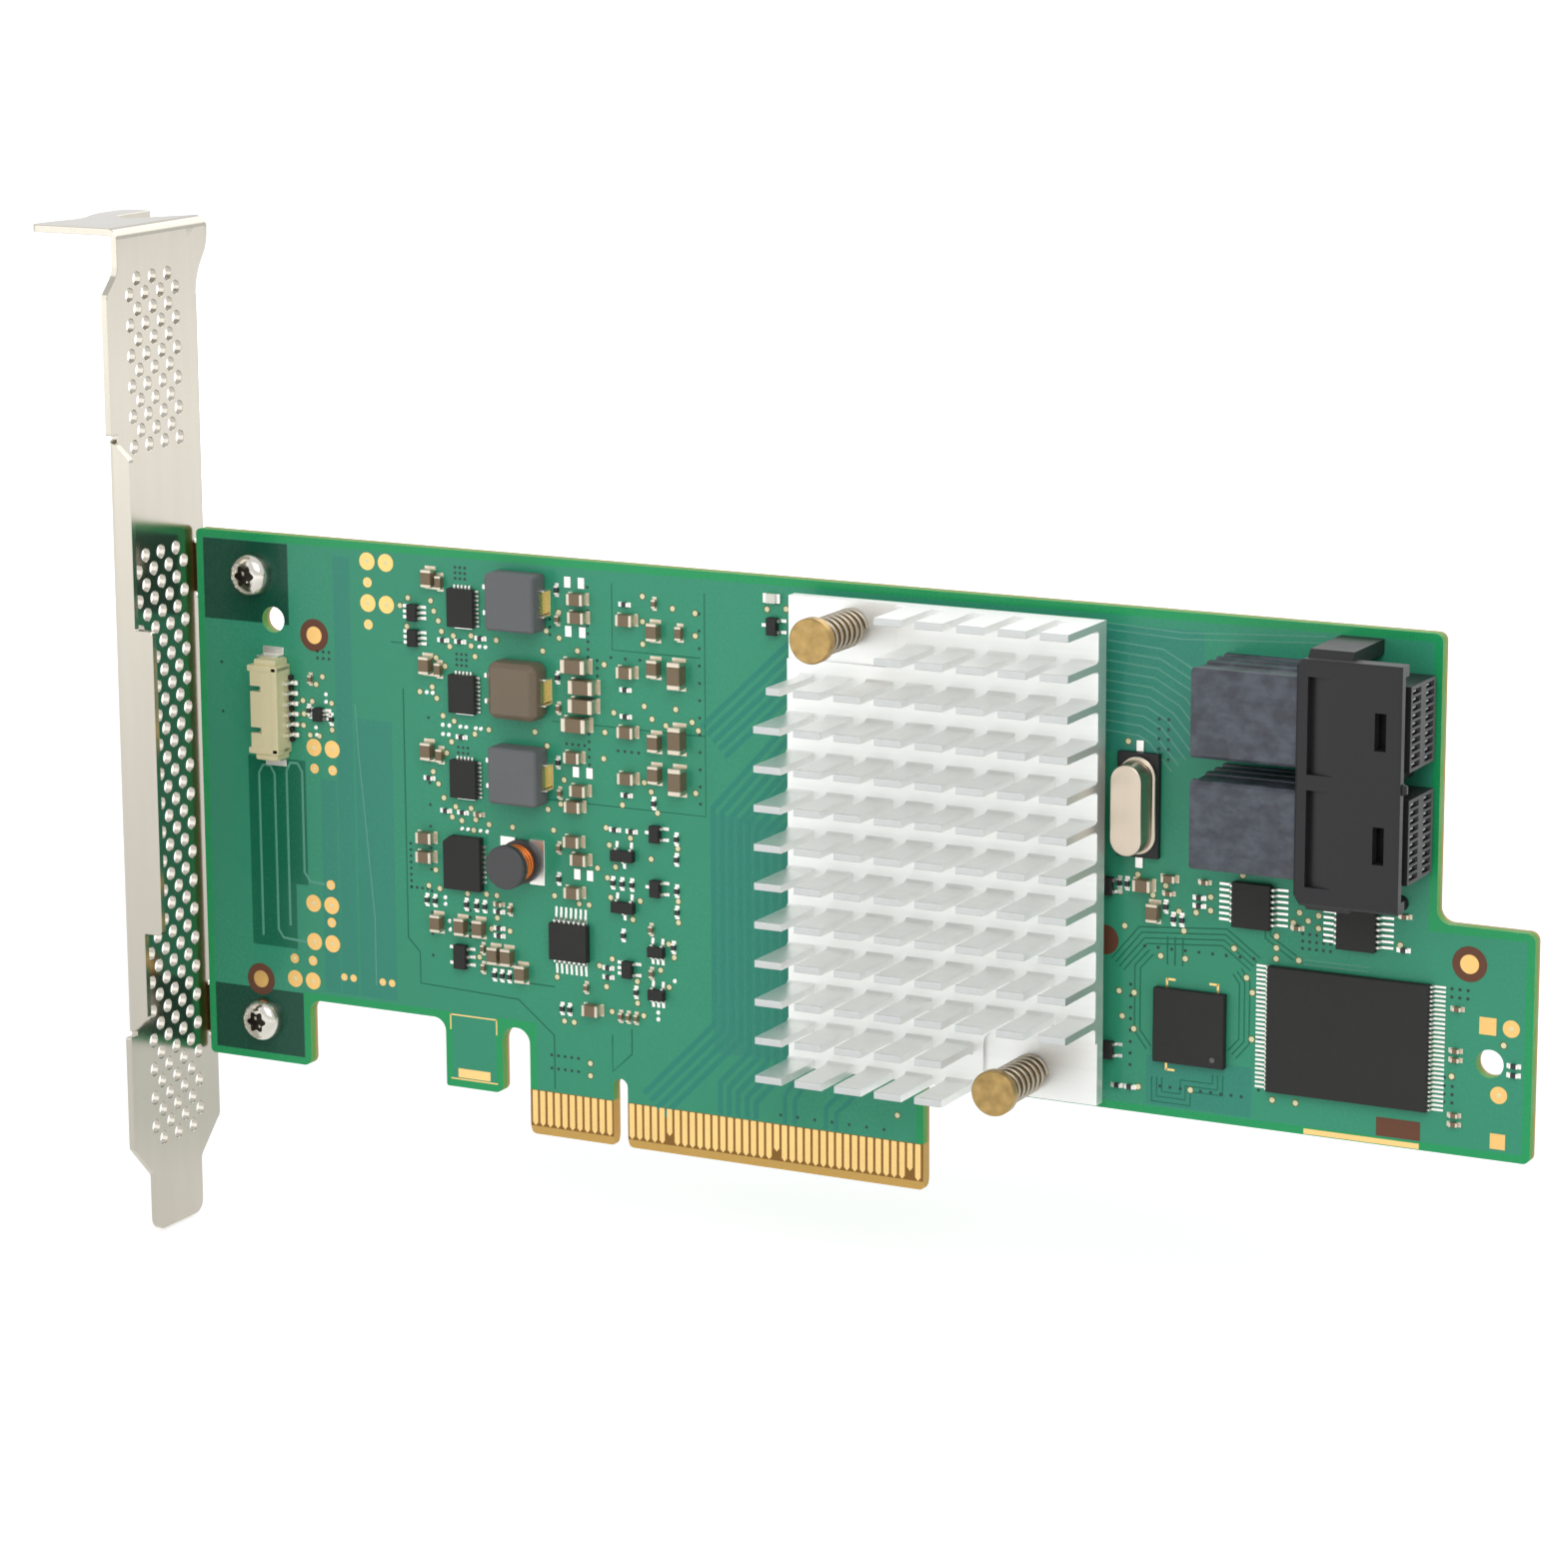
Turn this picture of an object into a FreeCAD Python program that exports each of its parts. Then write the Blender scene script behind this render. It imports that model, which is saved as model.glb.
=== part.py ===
"""Storage controller card: a low, half-length expansion card on a full-height slot bracket.

Frame, in millimetres: X runs along the board from the bracket towards its free end, Z runs up from
the card edge, and Y runs through the board. The component face is the plane Y = 0 and looks to -Y.
The origin is the centre of the key notch, at the bottom of the edge connector.

Heights above the component face are called "rise"; a part of rise h reaches Y = -h.
"""
import FreeCAD, Part
import math
import os

Vector = FreeCAD.Vector

# ---------------------------------------------------------------- driving dimensions: board
BOARD_THICK = 1.57
BOARD_LEFT = -57.15
BOARD_RIGHT = 110.5
BOARD_TOP = 68.9
BOARD_BOTTOM = 12.7             # lower edge to either side of the tongue and the tabs
STEP_X = 99.5                   # the upper right corner of the board is cut away beyond this
STEP_Z = 37.8
TAB_BOTTOM = 4.5                # lower edge of the two support tabs
LEFT_TAB_END = -42.7
SECOND_TAB = (-23.65, -15.9)
TONGUE = (-12.15, 39.15)        # card-edge tongue, bottom at Z = 0
KEY_HALF = 0.95                 # half the width of the key notch
KEY_DEPTH = 8.25
BEVEL_HEIGHT = 1.1              # lead-in bevel along the bottom of the tongue
BEVEL_DEPTH = 0.42
MOUNT_HOLE_DIA = 3.1
MOUNT_HOLES = [(-46.5, 58.7), (105.8, 23.2)]

# ---------------------------------------------------------------- driving dimensions: contacts
CONTACT_PITCH = 1.0
CONTACT_WIDTH = 0.7
CONTACT_TOP = 5.45
CONTACT_FOOT = 1.15
CONTACT_SHORT_FOOT = 2.2        # the presence-detect contacts stop here
FOIL = 0.04                     # thickness of the contacts
FIRST_BANK = (-11.5, 11)        # first contact centre and number of contacts
SECOND_BANK = (1.5, 38)
SHORT_FRONT = (6.5, 20.5, 37.5)
SHORT_BACK = (-11.5,)

# ---------------------------------------------------------------- driving dimensions: bracket
SHEET = 0.86
BRACKET_IN = -57.95             # inner face of the bracket plate
BRACKET_OUT = BRACKET_IN - SHEET
PLATE_NEAR = -15.4              # edge of the plate on the component side
PLATE_FAR = 2.65
TONGUE_NEAR = -11.3             # the narrow foot that drops into the chassis
TONGUE_FAR = -1.5
FOOT_TAPER = (-8.3, -4.0)       # Z over which the plate widens from the foot
HEAD_TAPER = (98.0, 100.4)      # Z over which its near side draws in to the flange
SPREAD_TAPER = (98.5, 102.2)    # Z over which its far side spreads to the flange
BRACKET_FOOT = -15.3
BRACKET_TOP = BRACKET_FOOT + 120.88
FLANGE_END = BRACKET_OUT - 11.43
FLANGE_NEAR = -13.1
FLANGE_FAR = 5.3
LOBE_END = FLANGE_END - 0.7     # the lobe beyond the screw notch reaches further out
LOBE_FAR = 7.0
NOTCH = (-66.9, -62.2)          # X of the two sides of the screw notch
NOTCH_FLOOR = -1.9
BEND = 0.45                     # inner radius of the bends
RIB_ZONE = (10.3, 81.3)         # stretch of the plate that has the folded stiffening rib
RIB_SHALLOW = 2.4
RIB_DEEP = 4.85
RIB_DEEP_ZONE = (22.8, 59.2)
RIB_RUN_IN = 2.1                # Z over which the rib rises at its two ends
RELIEF = 0.5                    # slits at the ends of the folds
EAR_WIDTH = 6.1
EAR_BEND = 0.7
EAR_END = -45.6
SCREW_AT = [(-49.2, 63.95), (-49.2, 9.6)]
SCREW_HOLE_DIA = 3.2
VENT_DIA = 1.95                 # across corners: each vent has six sides and a round one's area
VENT_PITCH = 3.1                # along a row
VENT_ROW = 1.775                # from one row to the next, which is half a pitch aside
VENT_MIDDLE = -6.2              # the vents are centred on this line of the plate
VENT_FIELDS = [(99.5, 12), (67.0, 41)]      # top row and number of rows of each field

# ---------------------------------------------------------------- driving dimensions: heatsink
SINK_X = (24.45, 62.25)
SINK_Z = (14.05, 67.85)
SINK_UNDER = 2.6                # rise of the underside of the base
SINK_BASE = 2.0
FIN_RISE = 8.0
FIN_ROWS = 13
FIN_THICK = 0.85
FIN_COLUMNS = 8
FIN_GAP = 1.64
POCKET_WIDE = 13.5              # corner pockets milled for the push pins
POCKET_HIGH = 7.0
POCKET_DEEP = 0.5
PIN_INSET = (7.85, 2.9)         # push pin axis from the corner of the heatsink
PIN_DIA = 2.9
PIN_HEAD_DIA = 5.1
PIN_HEAD_RISE = (12.9, 14.3)
PIN_HOLE_DIA = 3.3
SPRING_DIA = 4.3
SPRING_WIRE = 0.46
SPRING_TURNS = 7
SPRING_RUNS = 8                 # straight runs in each turn of the wire

TURNED_SIDES = 12               # facets round the small turned pieces

# ---------------------------------------------------------------- driving dimensions: port
PORT_X = (87.3, 98.95)
PORT_Z = (40.8, 67.1)
PORT_RISE = 10.6
PORT_WALL = 1.2
PORT_CENTRES = (48.05, 60.1)    # Z of the two ports
RECESS_X = (88.65, 91.6)        # the hood's front is recessed here, deepest at the first edge
RECESS_DEEP = 0.8
RECESS_HIGH = 10.4
LATCH_X = (96.1, 97.35)
LATCH_HIGH = 4.0
BACK_WALL = 1.2
LEG_X = (88.1, 93.0)
LEG_THICK = 0.8
LEG_OUT = 0.8                   # how far the legs stand out above and below the hood
LEG_RAMP = 8.6                  # the legs ramp out from the hood above this rise
MODULE_LEFT = 75.15
MODULE_WIDE = 9.7
MODULE_RISE = 9.8
BLOCK_FACE = 99.1
BLOCK_WIDE = 9.1
BLOCK_RISE = (0.8, 8.1)
CAVITY_ROWS = 10
CAVITY_PITCH = 0.86


# ================================================================ helpers
def box(x0, x1, y0, y1, z0, z1):
    return Part.makeBox(x1 - x0, y1 - y0, z1 - z0, Vector(x0, y0, z0))


def block(x, z, wide, high, low, top):
    """A box centred on (x, z) that stands on the component face between two rises."""
    return box(x - wide / 2, x + wide / 2, -top, -low, z - high / 2, z + high / 2)


def rounded_wire(corners, place):
    """A closed wire through (u, v, radius) corners; place turns (u, v) into a point in space."""
    flat = [Vector(u, v, 0) for u, v, _ in corners]
    count = len(corners)
    starts = []
    ends = []
    middles = []
    for i, (_, _, radius) in enumerate(corners):
        here = flat[i]
        to_last = (flat[i - 1] - here).normalize()
        to_next = (flat[(i + 1) % count] - here).normalize()
        half = to_last.getAngle(to_next) / 2
        reach = radius / math.tan(half)
        starts.append(here + to_last * reach)
        ends.append(here + to_next * reach)
        inward = (to_last + to_next).normalize()
        middles.append(here + inward * (radius / math.sin(half) - radius))
    edges = []
    for i, (_, _, radius) in enumerate(corners):
        if radius > 0:
            spots = [place(p.x, p.y) for p in (starts[i], middles[i], ends[i])]
            edges.append(Part.Arc(*spots).toShape())
        leave = ends[i]
        arrive = starts[(i + 1) % count]
        if leave.distanceToPoint(arrive) > 1e-6:
            edges.append(Part.LineSegment(place(leave.x, leave.y), place(arrive.x, arrive.y)).toShape())
    return Part.Wire(edges)


def prism_y(corners, y0, y1):
    """Corners in (X, Z), extruded from y0 to y1."""
    wire = rounded_wire(corners, lambda u, v: Vector(u, y0, v))
    return Part.Face(wire).extrude(Vector(0, y1 - y0, 0))


def prism_x(corners, x0, x1):
    """Corners in (Y, Z), extruded from x0 to x1."""
    wire = rounded_wire(corners, lambda u, v: Vector(x0, u, v))
    return Part.Face(wire).extrude(Vector(x1 - x0, 0, 0))


def prism_z(corners, z0, z1):
    """Corners in (X, Y), extruded from z0 to z1."""
    wire = rounded_wire(corners, lambda u, v: Vector(u, v, z0))
    return Part.Face(wire).extrude(Vector(0, 0, z1 - z0))


def disc(x, z, dia, low, top):
    """A round pad or peg that stands on the component face between two rises."""
    return Part.makeCylinder(dia / 2, top - low, Vector(x, -low, z), Vector(0, -1, 0))


def through_hole(x, z, dia):
    return disc(x, z, dia, -BOARD_THICK - 1, 1)


def clearance_hole(x, z, dia, low, top):
    """A hole that a fastener fills, with the facets of the fastener."""
    return turned(x, z, [(dia / 2, low), (dia / 2, top)])


def ring(x, z, radius, rise, sides):
    """A regular polygon about the axis that stands on the board at (x, z)."""
    points = []
    for k in range(sides + 1):
        angle = 2 * math.pi * (k + 0.5) / sides
        points.append(Vector(x + radius * math.cos(angle), -rise, z + radius * math.sin(angle)))
    return Part.makePolygon(points)


def turned(x, z, outline, sides=TURNED_SIDES):
    """A faceted turning on the axis at (x, z); outline lists (radius, rise) from foot to top."""
    bands = []
    for (r0, h0), (r1, h1) in zip(outline, outline[1:]):
        if h1 > h0:
            wires = [ring(x, z, r0, h0, sides), ring(x, z, r1, h1, sides)]
            bands.append(Part.makeLoft(wires, True, True))
    solid = bands[0]
    if len(bands) > 1:
        solid = solid.fuse(bands[1:]).removeSplitter()
    return solid


def stadium(x, z, wide, high, low, top):
    """An upright block with half-round ends, between two rises."""
    left, right = x - wide / 2, x + wide / 2
    foot, head = z - high / 2, z + high / 2
    radius = wide / 2 - 1e-4
    corners = [(left, foot, radius), (left, head, radius), (right, head, radius), (right, foot, radius)]
    return prism_y(corners, -top, -low)


def softened(solid, size, chosen):
    """Break the edges whose middle passes the test with a small chamfer."""
    edges = [e for e in solid.Edges if chosen(e.CenterOfMass)]
    return solid.makeChamfer(size, edges)


def group(solids):
    return Part.makeCompound(solids)


def save(name, shape):
    shape.exportStep("parts/" + name + ".step")


# ================================================================ the board and its edge contacts
def circuit_board():
    outline = [
        (BOARD_LEFT, TAB_BOTTOM, 0.6),
        (BOARD_LEFT, BOARD_TOP, 0.6),
        (STEP_X, BOARD_TOP, 0.9),
        (STEP_X, STEP_Z, 1.6),
        (BOARD_RIGHT, STEP_Z, 1.0),
        (BOARD_RIGHT, BOARD_BOTTOM, 0.8),
        (TONGUE[1], BOARD_BOTTOM, 0.8),
        (TONGUE[1], 0, 0.7),
        (KEY_HALF, 0, 0.5),
        (KEY_HALF, KEY_DEPTH, KEY_HALF - 1e-4),
        (-KEY_HALF, KEY_DEPTH, KEY_HALF - 1e-4),
        (-KEY_HALF, 0, 0.5),
        (TONGUE[0], 0, 0.5),
        (TONGUE[0], BOARD_BOTTOM, 1.8),
        (SECOND_TAB[1], BOARD_BOTTOM, 1.8),
        (SECOND_TAB[1], TAB_BOTTOM, 1.0),
        (SECOND_TAB[0], TAB_BOTTOM, 0.3),
        (SECOND_TAB[0], BOARD_BOTTOM, 1.6),
        (LEFT_TAB_END, BOARD_BOTTOM, 1.4),
        (LEFT_TAB_END, TAB_BOTTOM, 1.0),
    ]
    board = prism_y(outline, 0, BOARD_THICK)
    for face_y, inward in ((0, 1), (BOARD_THICK, -1)):
        wedge = Part.makePolygon([
            Vector(TONGUE[0] - 1, face_y - inward, -1),
            Vector(TONGUE[0] - 1, face_y - inward, BEVEL_HEIGHT),
            Vector(TONGUE[0] - 1, face_y, BEVEL_HEIGHT),
            Vector(TONGUE[0] - 1, face_y + inward * BEVEL_DEPTH, 0),
            Vector(TONGUE[0] - 1, face_y + inward * BEVEL_DEPTH, -1),
            Vector(TONGUE[0] - 1, face_y - inward, -1),
        ])
        board = board.cut(Part.Face(wedge).extrude(Vector(TONGUE[1] - TONGUE[0] + 2, 0, 0)))
    for x, z in MOUNT_HOLES:
        board = board.cut(through_hole(x, z, MOUNT_HOLE_DIA))
    for x, z in SCREW_AT:
        board = board.cut(clearance_hole(x, z, SCREW_HOLE_DIA, -BOARD_THICK - 1, 1))
    for x, z in pin_axes():
        board = board.cut(clearance_hole(x, z, PIN_HOLE_DIA, -BOARD_THICK - 1, 1))
    return board


def contact(x, foot, y0, y1):
    half = CONTACT_WIDTH / 2
    return box(x - half, x + half, y0, y1, foot, CONTACT_TOP)


def edge_contacts(y0, y1, short):
    pads = []
    for first, number in (FIRST_BANK, SECOND_BANK):
        for i in range(number):
            x = first + i * CONTACT_PITCH
            foot = CONTACT_SHORT_FOOT if x in short else CONTACT_FOOT
            pads.append(contact(x, foot, y0, y1))
    return group(pads)


# ================================================================ the slot bracket
def bracket_plate():
    near_cut = PLATE_NEAR + SHEET + BEND
    corners = [
        (TONGUE_NEAR, BRACKET_FOOT, 1.6),
        (TONGUE_NEAR, FOOT_TAPER[0], 0),
        (PLATE_NEAR, FOOT_TAPER[1], 0),
        (PLATE_NEAR, RIB_ZONE[0] - RELIEF, 0),
        (near_cut, RIB_ZONE[0] - RELIEF, 0),
        (near_cut, RIB_ZONE[1] + RELIEF, 0),
        (PLATE_NEAR, RIB_ZONE[1] + RELIEF, 0),
        (PLATE_NEAR, HEAD_TAPER[0], 0),
        (FLANGE_NEAR, HEAD_TAPER[1], 0.8),
        (FLANGE_NEAR, BRACKET_TOP, 0),
        (FLANGE_FAR, BRACKET_TOP, 1.5),
        (FLANGE_FAR, SPREAD_TAPER[1], 1.3),
        (PLATE_FAR, SPREAD_TAPER[0], 2.0),
        (PLATE_FAR, FOOT_TAPER[1], 0),
        (TONGUE_FAR, FOOT_TAPER[0], 0),
        (TONGUE_FAR, BRACKET_FOOT, 1.6),
    ]
    return prism_x(corners, BRACKET_OUT, BRACKET_IN), corners


def folded_strip(inner, outer_leg, along, leg_end):
    """An L-shaped fold in a plane, as corners for a prism: the sheet turns by a right angle.

    inner is the inside corner, outer_leg the sign of the side on which the sheet lies along the
    first axis, along the far end of the first leg and leg_end the far end of the second leg.
    """
    u, v = inner
    side_u, side_v = outer_leg
    return [
        (along, v, 0),
        (u, v, BEND),
        (u, leg_end, 0),
        (u + side_u * SHEET, leg_end, 0),
        (u + side_u * SHEET, v + side_v * SHEET, BEND + SHEET),
        (along, v + side_v * SHEET, 0),
    ]


def bracket_flange(plate_corners):
    """The top flange and its bend: notched for the chassis screw, with a longer lobe beyond the notch."""
    root = BRACKET_TOP - 3.0
    section = folded_strip((BRACKET_OUT, BRACKET_TOP - SHEET), (1, 1), LOBE_END, root)
    fold = prism_y(section, FLANGE_NEAR, LOBE_FAR)
    near_side, far_side = NOTCH[1], NOTCH[0]
    plan = [
        (BRACKET_IN + 1, FLANGE_NEAR - 1, 0),
        (BRACKET_IN + 1, FLANGE_FAR, 0),
        (BRACKET_OUT - 0.4, FLANGE_FAR - 0.4, 0),
        (near_side, 0.6, 0.8),
        (near_side, NOTCH_FLOOR, 2.3),
        (far_side, NOTCH_FLOOR, 2.3),
        (far_side, LOBE_FAR, 0.5),
        (LOBE_END, LOBE_FAR, 2.2),
        (LOBE_END, 1.0, 1.5),
        (FLANGE_END + 1.4, -4.6, 1.5),
        (FLANGE_END, -10.0, 1.5),
        (FLANGE_END, FLANGE_NEAR, 1.2),
        (BRACKET_OUT - 1, FLANGE_NEAR, 0),
        (BRACKET_OUT - 1, FLANGE_NEAR - 1, 0),
    ]
    fold = fold.common(prism_z(plan, root - 1, BRACKET_TOP + 1))
    split = BRACKET_OUT - 1.0
    flat = fold.common(box(LOBE_END - 1, split, FLANGE_NEAR - 1, LOBE_FAR + 1, root, BRACKET_TOP + 1))
    return flat.fuse(fold.common(prism_x(plate_corners, split, BRACKET_IN + 1)))


def bracket_rib():
    """The stiffening rib folded along the near edge, deeper over its middle stretch."""
    section = folded_strip((BRACKET_IN, PLATE_NEAR + SHEET), (-1, -1), BRACKET_IN + RIB_DEEP,
                           PLATE_NEAR + SHEET + BEND)
    rib = prism_z(section, *RIB_ZONE)
    deep = BRACKET_IN + RIB_DEEP
    shallow = BRACKET_IN + RIB_SHALLOW
    side = [
        (BRACKET_OUT - 1, RIB_ZONE[0], 0),
        (BRACKET_IN, RIB_ZONE[0], 0),
        (shallow, RIB_ZONE[0] + RIB_RUN_IN, 0.4),
        (shallow, RIB_DEEP_ZONE[0], 0),
        (deep, RIB_DEEP_ZONE[0], 0.6),
        (deep, RIB_DEEP_ZONE[1], 0.6),
        (shallow, RIB_DEEP_ZONE[1], 0),
        (shallow, RIB_ZONE[1] - RIB_RUN_IN, 0.4),
        (BRACKET_IN, RIB_ZONE[1], 0),
        (BRACKET_OUT - 1, RIB_ZONE[1], 0),
    ]
    return rib.common(prism_y(side, PLATE_NEAR - 1, PLATE_NEAR + SHEET + BEND + 0.1))


def bracket_ear(z):
    """A lug turned in behind the board, with the hole for its screw."""
    foot, head = z - EAR_WIDTH / 2, z + EAR_WIDTH / 2
    inner = BOARD_THICK
    outer = BOARD_THICK + SHEET
    section = [
        (EAR_END, inner, 0),
        (BRACKET_IN, inner, EAR_BEND),
        (BRACKET_IN, inner - 2.0, 0),
        (BRACKET_OUT, inner - 2.0, 0),
        (BRACKET_OUT, outer, EAR_BEND + SHEET),
        (EAR_END, outer, 0),
    ]
    ear = prism_z(section, foot, head)
    tip = [
        (BRACKET_OUT - 1, foot, 0),
        (BRACKET_OUT - 1, head, 0),
        (EAR_END, head, 2.4),
        (EAR_END, foot, 2.4),
    ]
    return ear.common(prism_y(tip, -2, outer + 1))


def vent(y, z):
    """One vent through the plate."""
    corners = []
    for k in range(7):
        angle = math.pi * k / 3
        corners.append(Vector(BRACKET_OUT - 1, y + VENT_DIA / 2 * math.cos(angle),
                              z + VENT_DIA / 2 * math.sin(angle)))
    return Part.Face(Part.makePolygon(corners)).extrude(Vector(SHEET + 2, 0, 0))


def vents():
    """Staggered rows of vents: three and four by turns."""
    holes = []
    for top_row, rows in VENT_FIELDS:
        for row in range(rows):
            number = 3 + row % 2
            z = top_row - row * VENT_ROW
            for i in range(number):
                y = VENT_MIDDLE + (i - (number - 1) / 2) * VENT_PITCH
                holes.append(vent(y, z))
    return holes


def bracket():
    plate, corners = bracket_plate()
    shape = plate.cut(box(BRACKET_OUT - 1, BRACKET_IN + 1, -20, 10, BRACKET_TOP - 3.0, BRACKET_TOP + 1))
    shape = shape.fuse([bracket_flange(corners), bracket_rib()])
    for x, z in SCREW_AT:
        window = box(BRACKET_OUT - 1, BRACKET_IN + 1, BOARD_THICK - 1.2, PLATE_FAR + 1,
                     z - EAR_WIDTH / 2 - RELIEF, z + EAR_WIDTH / 2 + RELIEF)
        shape = shape.cut(window).fuse(bracket_ear(z))
        shape = shape.cut(clearance_hole(x, z, SCREW_HOLE_DIA, -BOARD_THICK - 2, 0))
    shape = shape.cut(vents())
    return shape.removeSplitter()


def bracket_screws():
    screws = []
    for x, z in SCREW_AT:
        screws.append(turned(x, z, [(1.45, -3.4), (1.45, 0), (2.6, 0), (2.6, 0.8), (1.5, 2.0)]))
    return group(screws)


# ================================================================ controller, heatsink and its pins
def sink_centre():
    return (SINK_X[0] + SINK_X[1]) / 2, (SINK_Z[0] + SINK_Z[1]) / 2


def pin_axes():
    """The two push pins stand in opposite corners: top left and bottom right."""
    return [
        (SINK_X[0] + PIN_INSET[0], SINK_Z[1] - PIN_INSET[1]),
        (SINK_X[1] - PIN_INSET[0], SINK_Z[0] + PIN_INSET[1]),
    ]


def heatsink():
    low, top = SINK_UNDER, SINK_UNDER + SINK_BASE
    tip = top + FIN_RISE
    sink = box(*SINK_X, -top, -low, *SINK_Z)
    row_pitch = (SINK_Z[1] - SINK_Z[0] - FIN_THICK) / (FIN_ROWS - 1)
    rows = []
    for i in range(FIN_ROWS):
        z = SINK_Z[0] + i * row_pitch
        rows.append(box(*SINK_X, -tip, -top, z, z + FIN_THICK))
    sink = sink.fuse(rows)
    length = SINK_X[1] - SINK_X[0]
    fin = (length - (FIN_COLUMNS - 1) * FIN_GAP) / FIN_COLUMNS
    saws = []
    for i in range(1, FIN_COLUMNS):
        x = SINK_X[0] + i * (fin + FIN_GAP)
        saws.append(box(x - FIN_GAP, x, -tip - 1, -top, SINK_Z[0] - 1, SINK_Z[1] + 1))
    sink = sink.cut(saws)
    floor = top - POCKET_DEEP
    left, right = SINK_X[0] - 1, SINK_X[0] + POCKET_WIDE
    foot, head = SINK_Z[1] - POCKET_HIGH, SINK_Z[1] + 1
    pocket = prism_y([(left, foot, 0), (left, head, 0), (right, head, 0), (right, foot, 1.5)],
                     -tip - 1, -floor)
    opposite = pocket.copy()
    middle_x, middle_z = sink_centre()
    opposite.rotate(Vector(middle_x, 0, middle_z), Vector(0, 1, 0), 180)
    sink = sink.cut([pocket, opposite])
    # the cutter runs out over the first fin below the upper pocket
    third_row = SINK_Z[1] - 2 * row_pitch
    sink = sink.cut(box(left, SINK_X[0] + 1.6, -tip - 1, -top, third_row - FIN_THICK - 0.5, third_row + 0.5))
    for x, z in pin_axes():
        sink = sink.cut(clearance_hole(x, z, PIN_HOLE_DIA, 0, tip))
    return sink.removeSplitter()


def push_pins():
    """Turned brass pins: flat head, shank through heatsink and board, split barb behind the board."""
    pins = []
    low, high = PIN_HEAD_RISE
    head, shank, barb = PIN_HEAD_DIA / 2, PIN_DIA / 2, 1.95
    under = -BOARD_THICK
    for x, z in pin_axes():
        profile = [(0.9, under - 3.0), (barb, under - 0.5), (barb, under), (shank, under), (shank, low),
                   (head, low), (head, high - 0.2), (head - 0.2, high)]
        pin = turned(x, z, profile)
        slot = block(x, z, 5, 0.7, under - 4, under - 0.2)
        pins.append(pin.cut(slot))
    return group(pins)


def push_pin_springs():
    """Each spring is a square wire bent in short straight runs round its pin."""
    bottom = SINK_UNDER + SINK_BASE - POCKET_DEEP + SPRING_WIRE / 2
    height = PIN_HEAD_RISE[0] - SPRING_WIRE / 2 - bottom
    radius = (SPRING_DIA - SPRING_WIRE) / 2
    runs = SPRING_TURNS * SPRING_RUNS
    springs = []
    for x, z in pin_axes():
        points = []
        for k in range(runs + 1):
            angle = 2 * math.pi * k / SPRING_RUNS
            rise = bottom + height * k / runs
            points.append(Vector(x + radius * math.cos(angle), -rise, z + radius * math.sin(angle)))
        half = SPRING_WIRE / 2
        corners = [(radius - half, bottom - half), (radius + half, bottom - half),
                   (radius + half, bottom + half), (radius - half, bottom + half)]
        section = Part.makePolygon([Vector(x + r, -h, z) for r, h in corners + corners[:1]])
        springs.append(Part.makePolygon(points).makePipeShell([section], True, False, 1))
    return group(springs)


def controller_substrate():
    x, z = sink_centre()
    return block(x, z, 31, 31, 0, 1.5)


def controller_lid():
    x, z = sink_centre()
    lid = block(x, z, 27, 27, 1.5, 2.45)
    return softened(lid, 1.0, lambda p: abs(abs(p.x - x) - 13.5) < 0.1 and abs(abs(p.z - z) - 13.5) < 0.1)


def thermal_pad():
    x, z = sink_centre()
    return block(x, z, 25, 25, 2.45, SINK_UNDER)


# ================================================================ the double port
def hood_leg(edge, out):
    """A leg from the hood to the board; out is +1 above the hood and -1 below it."""
    inner = PORT_RISE - PORT_WALL
    root = edge - out * LEG_THICK
    foot = edge + out * LEG_OUT
    corners = [(-inner, root, 0), (-inner, edge, 0), (-LEG_RAMP, foot, 0), (0, foot, 0), (0, root, 0)]
    return prism_x(corners, *LEG_X)


def port_shroud():
    """Black hood of the double port: front plate, back wall, divider, lips and side legs."""
    x0, x1 = PORT_X
    z0, z1 = PORT_Z
    inner = PORT_RISE - PORT_WALL
    corner = x0 + 0.7
    plate = prism_y([(x0, z0 + 1.1, 0), (x0, z1, 0.8), (x1, z1, 0), (x1, z0, 0), (corner, z0, 0)],
                    -PORT_RISE, -inner)
    plate = softened(plate, 0.3, lambda p: p.y < -PORT_RISE + 0.01)
    middle = (PORT_CENTRES[0] + PORT_CENTRES[1]) / 2
    behind = x0 + BACK_WALL
    back = box(x0, behind, -inner, 0, z0 + PORT_WALL, z1 - 0.6)
    divider = box(behind, x1 - 2.4, -inner, 0, middle - 0.45, middle + 0.45)
    lips = [box(corner, x1, -inner, -inner + 1.0, z, z + PORT_WALL) for z in (z0, z1 - PORT_WALL)]
    lug = prism_y([(x1 - 0.6, middle - 0.9, 0), (x1 - 0.6, middle + 0.9, 0), (x1 + 0.5, middle + 0.4, 0),
                   (x1 + 0.5, middle - 0.4, 0)], -inner - 0.4, -inner)
    hood = plate.fuse([back, divider, lug, hood_leg(z0, -1), hood_leg(z1, 1)] + lips)
    start, stop = RECESS_X
    front = -PORT_RISE
    ramp = [(start, front - 1, 0), (start, front + RECESS_DEEP, 0), (stop, front, 0), (stop, front - 1, 0)]
    for z in PORT_CENTRES:
        latch = box(*LATCH_X, front - 1, -inner, z - LATCH_HIGH / 2, z + LATCH_HIGH / 2)
        hood = hood.cut([latch, prism_z(ramp, z - RECESS_HIGH / 2, z + RECESS_HIGH / 2)])
    return hood.removeSplitter()


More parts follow.
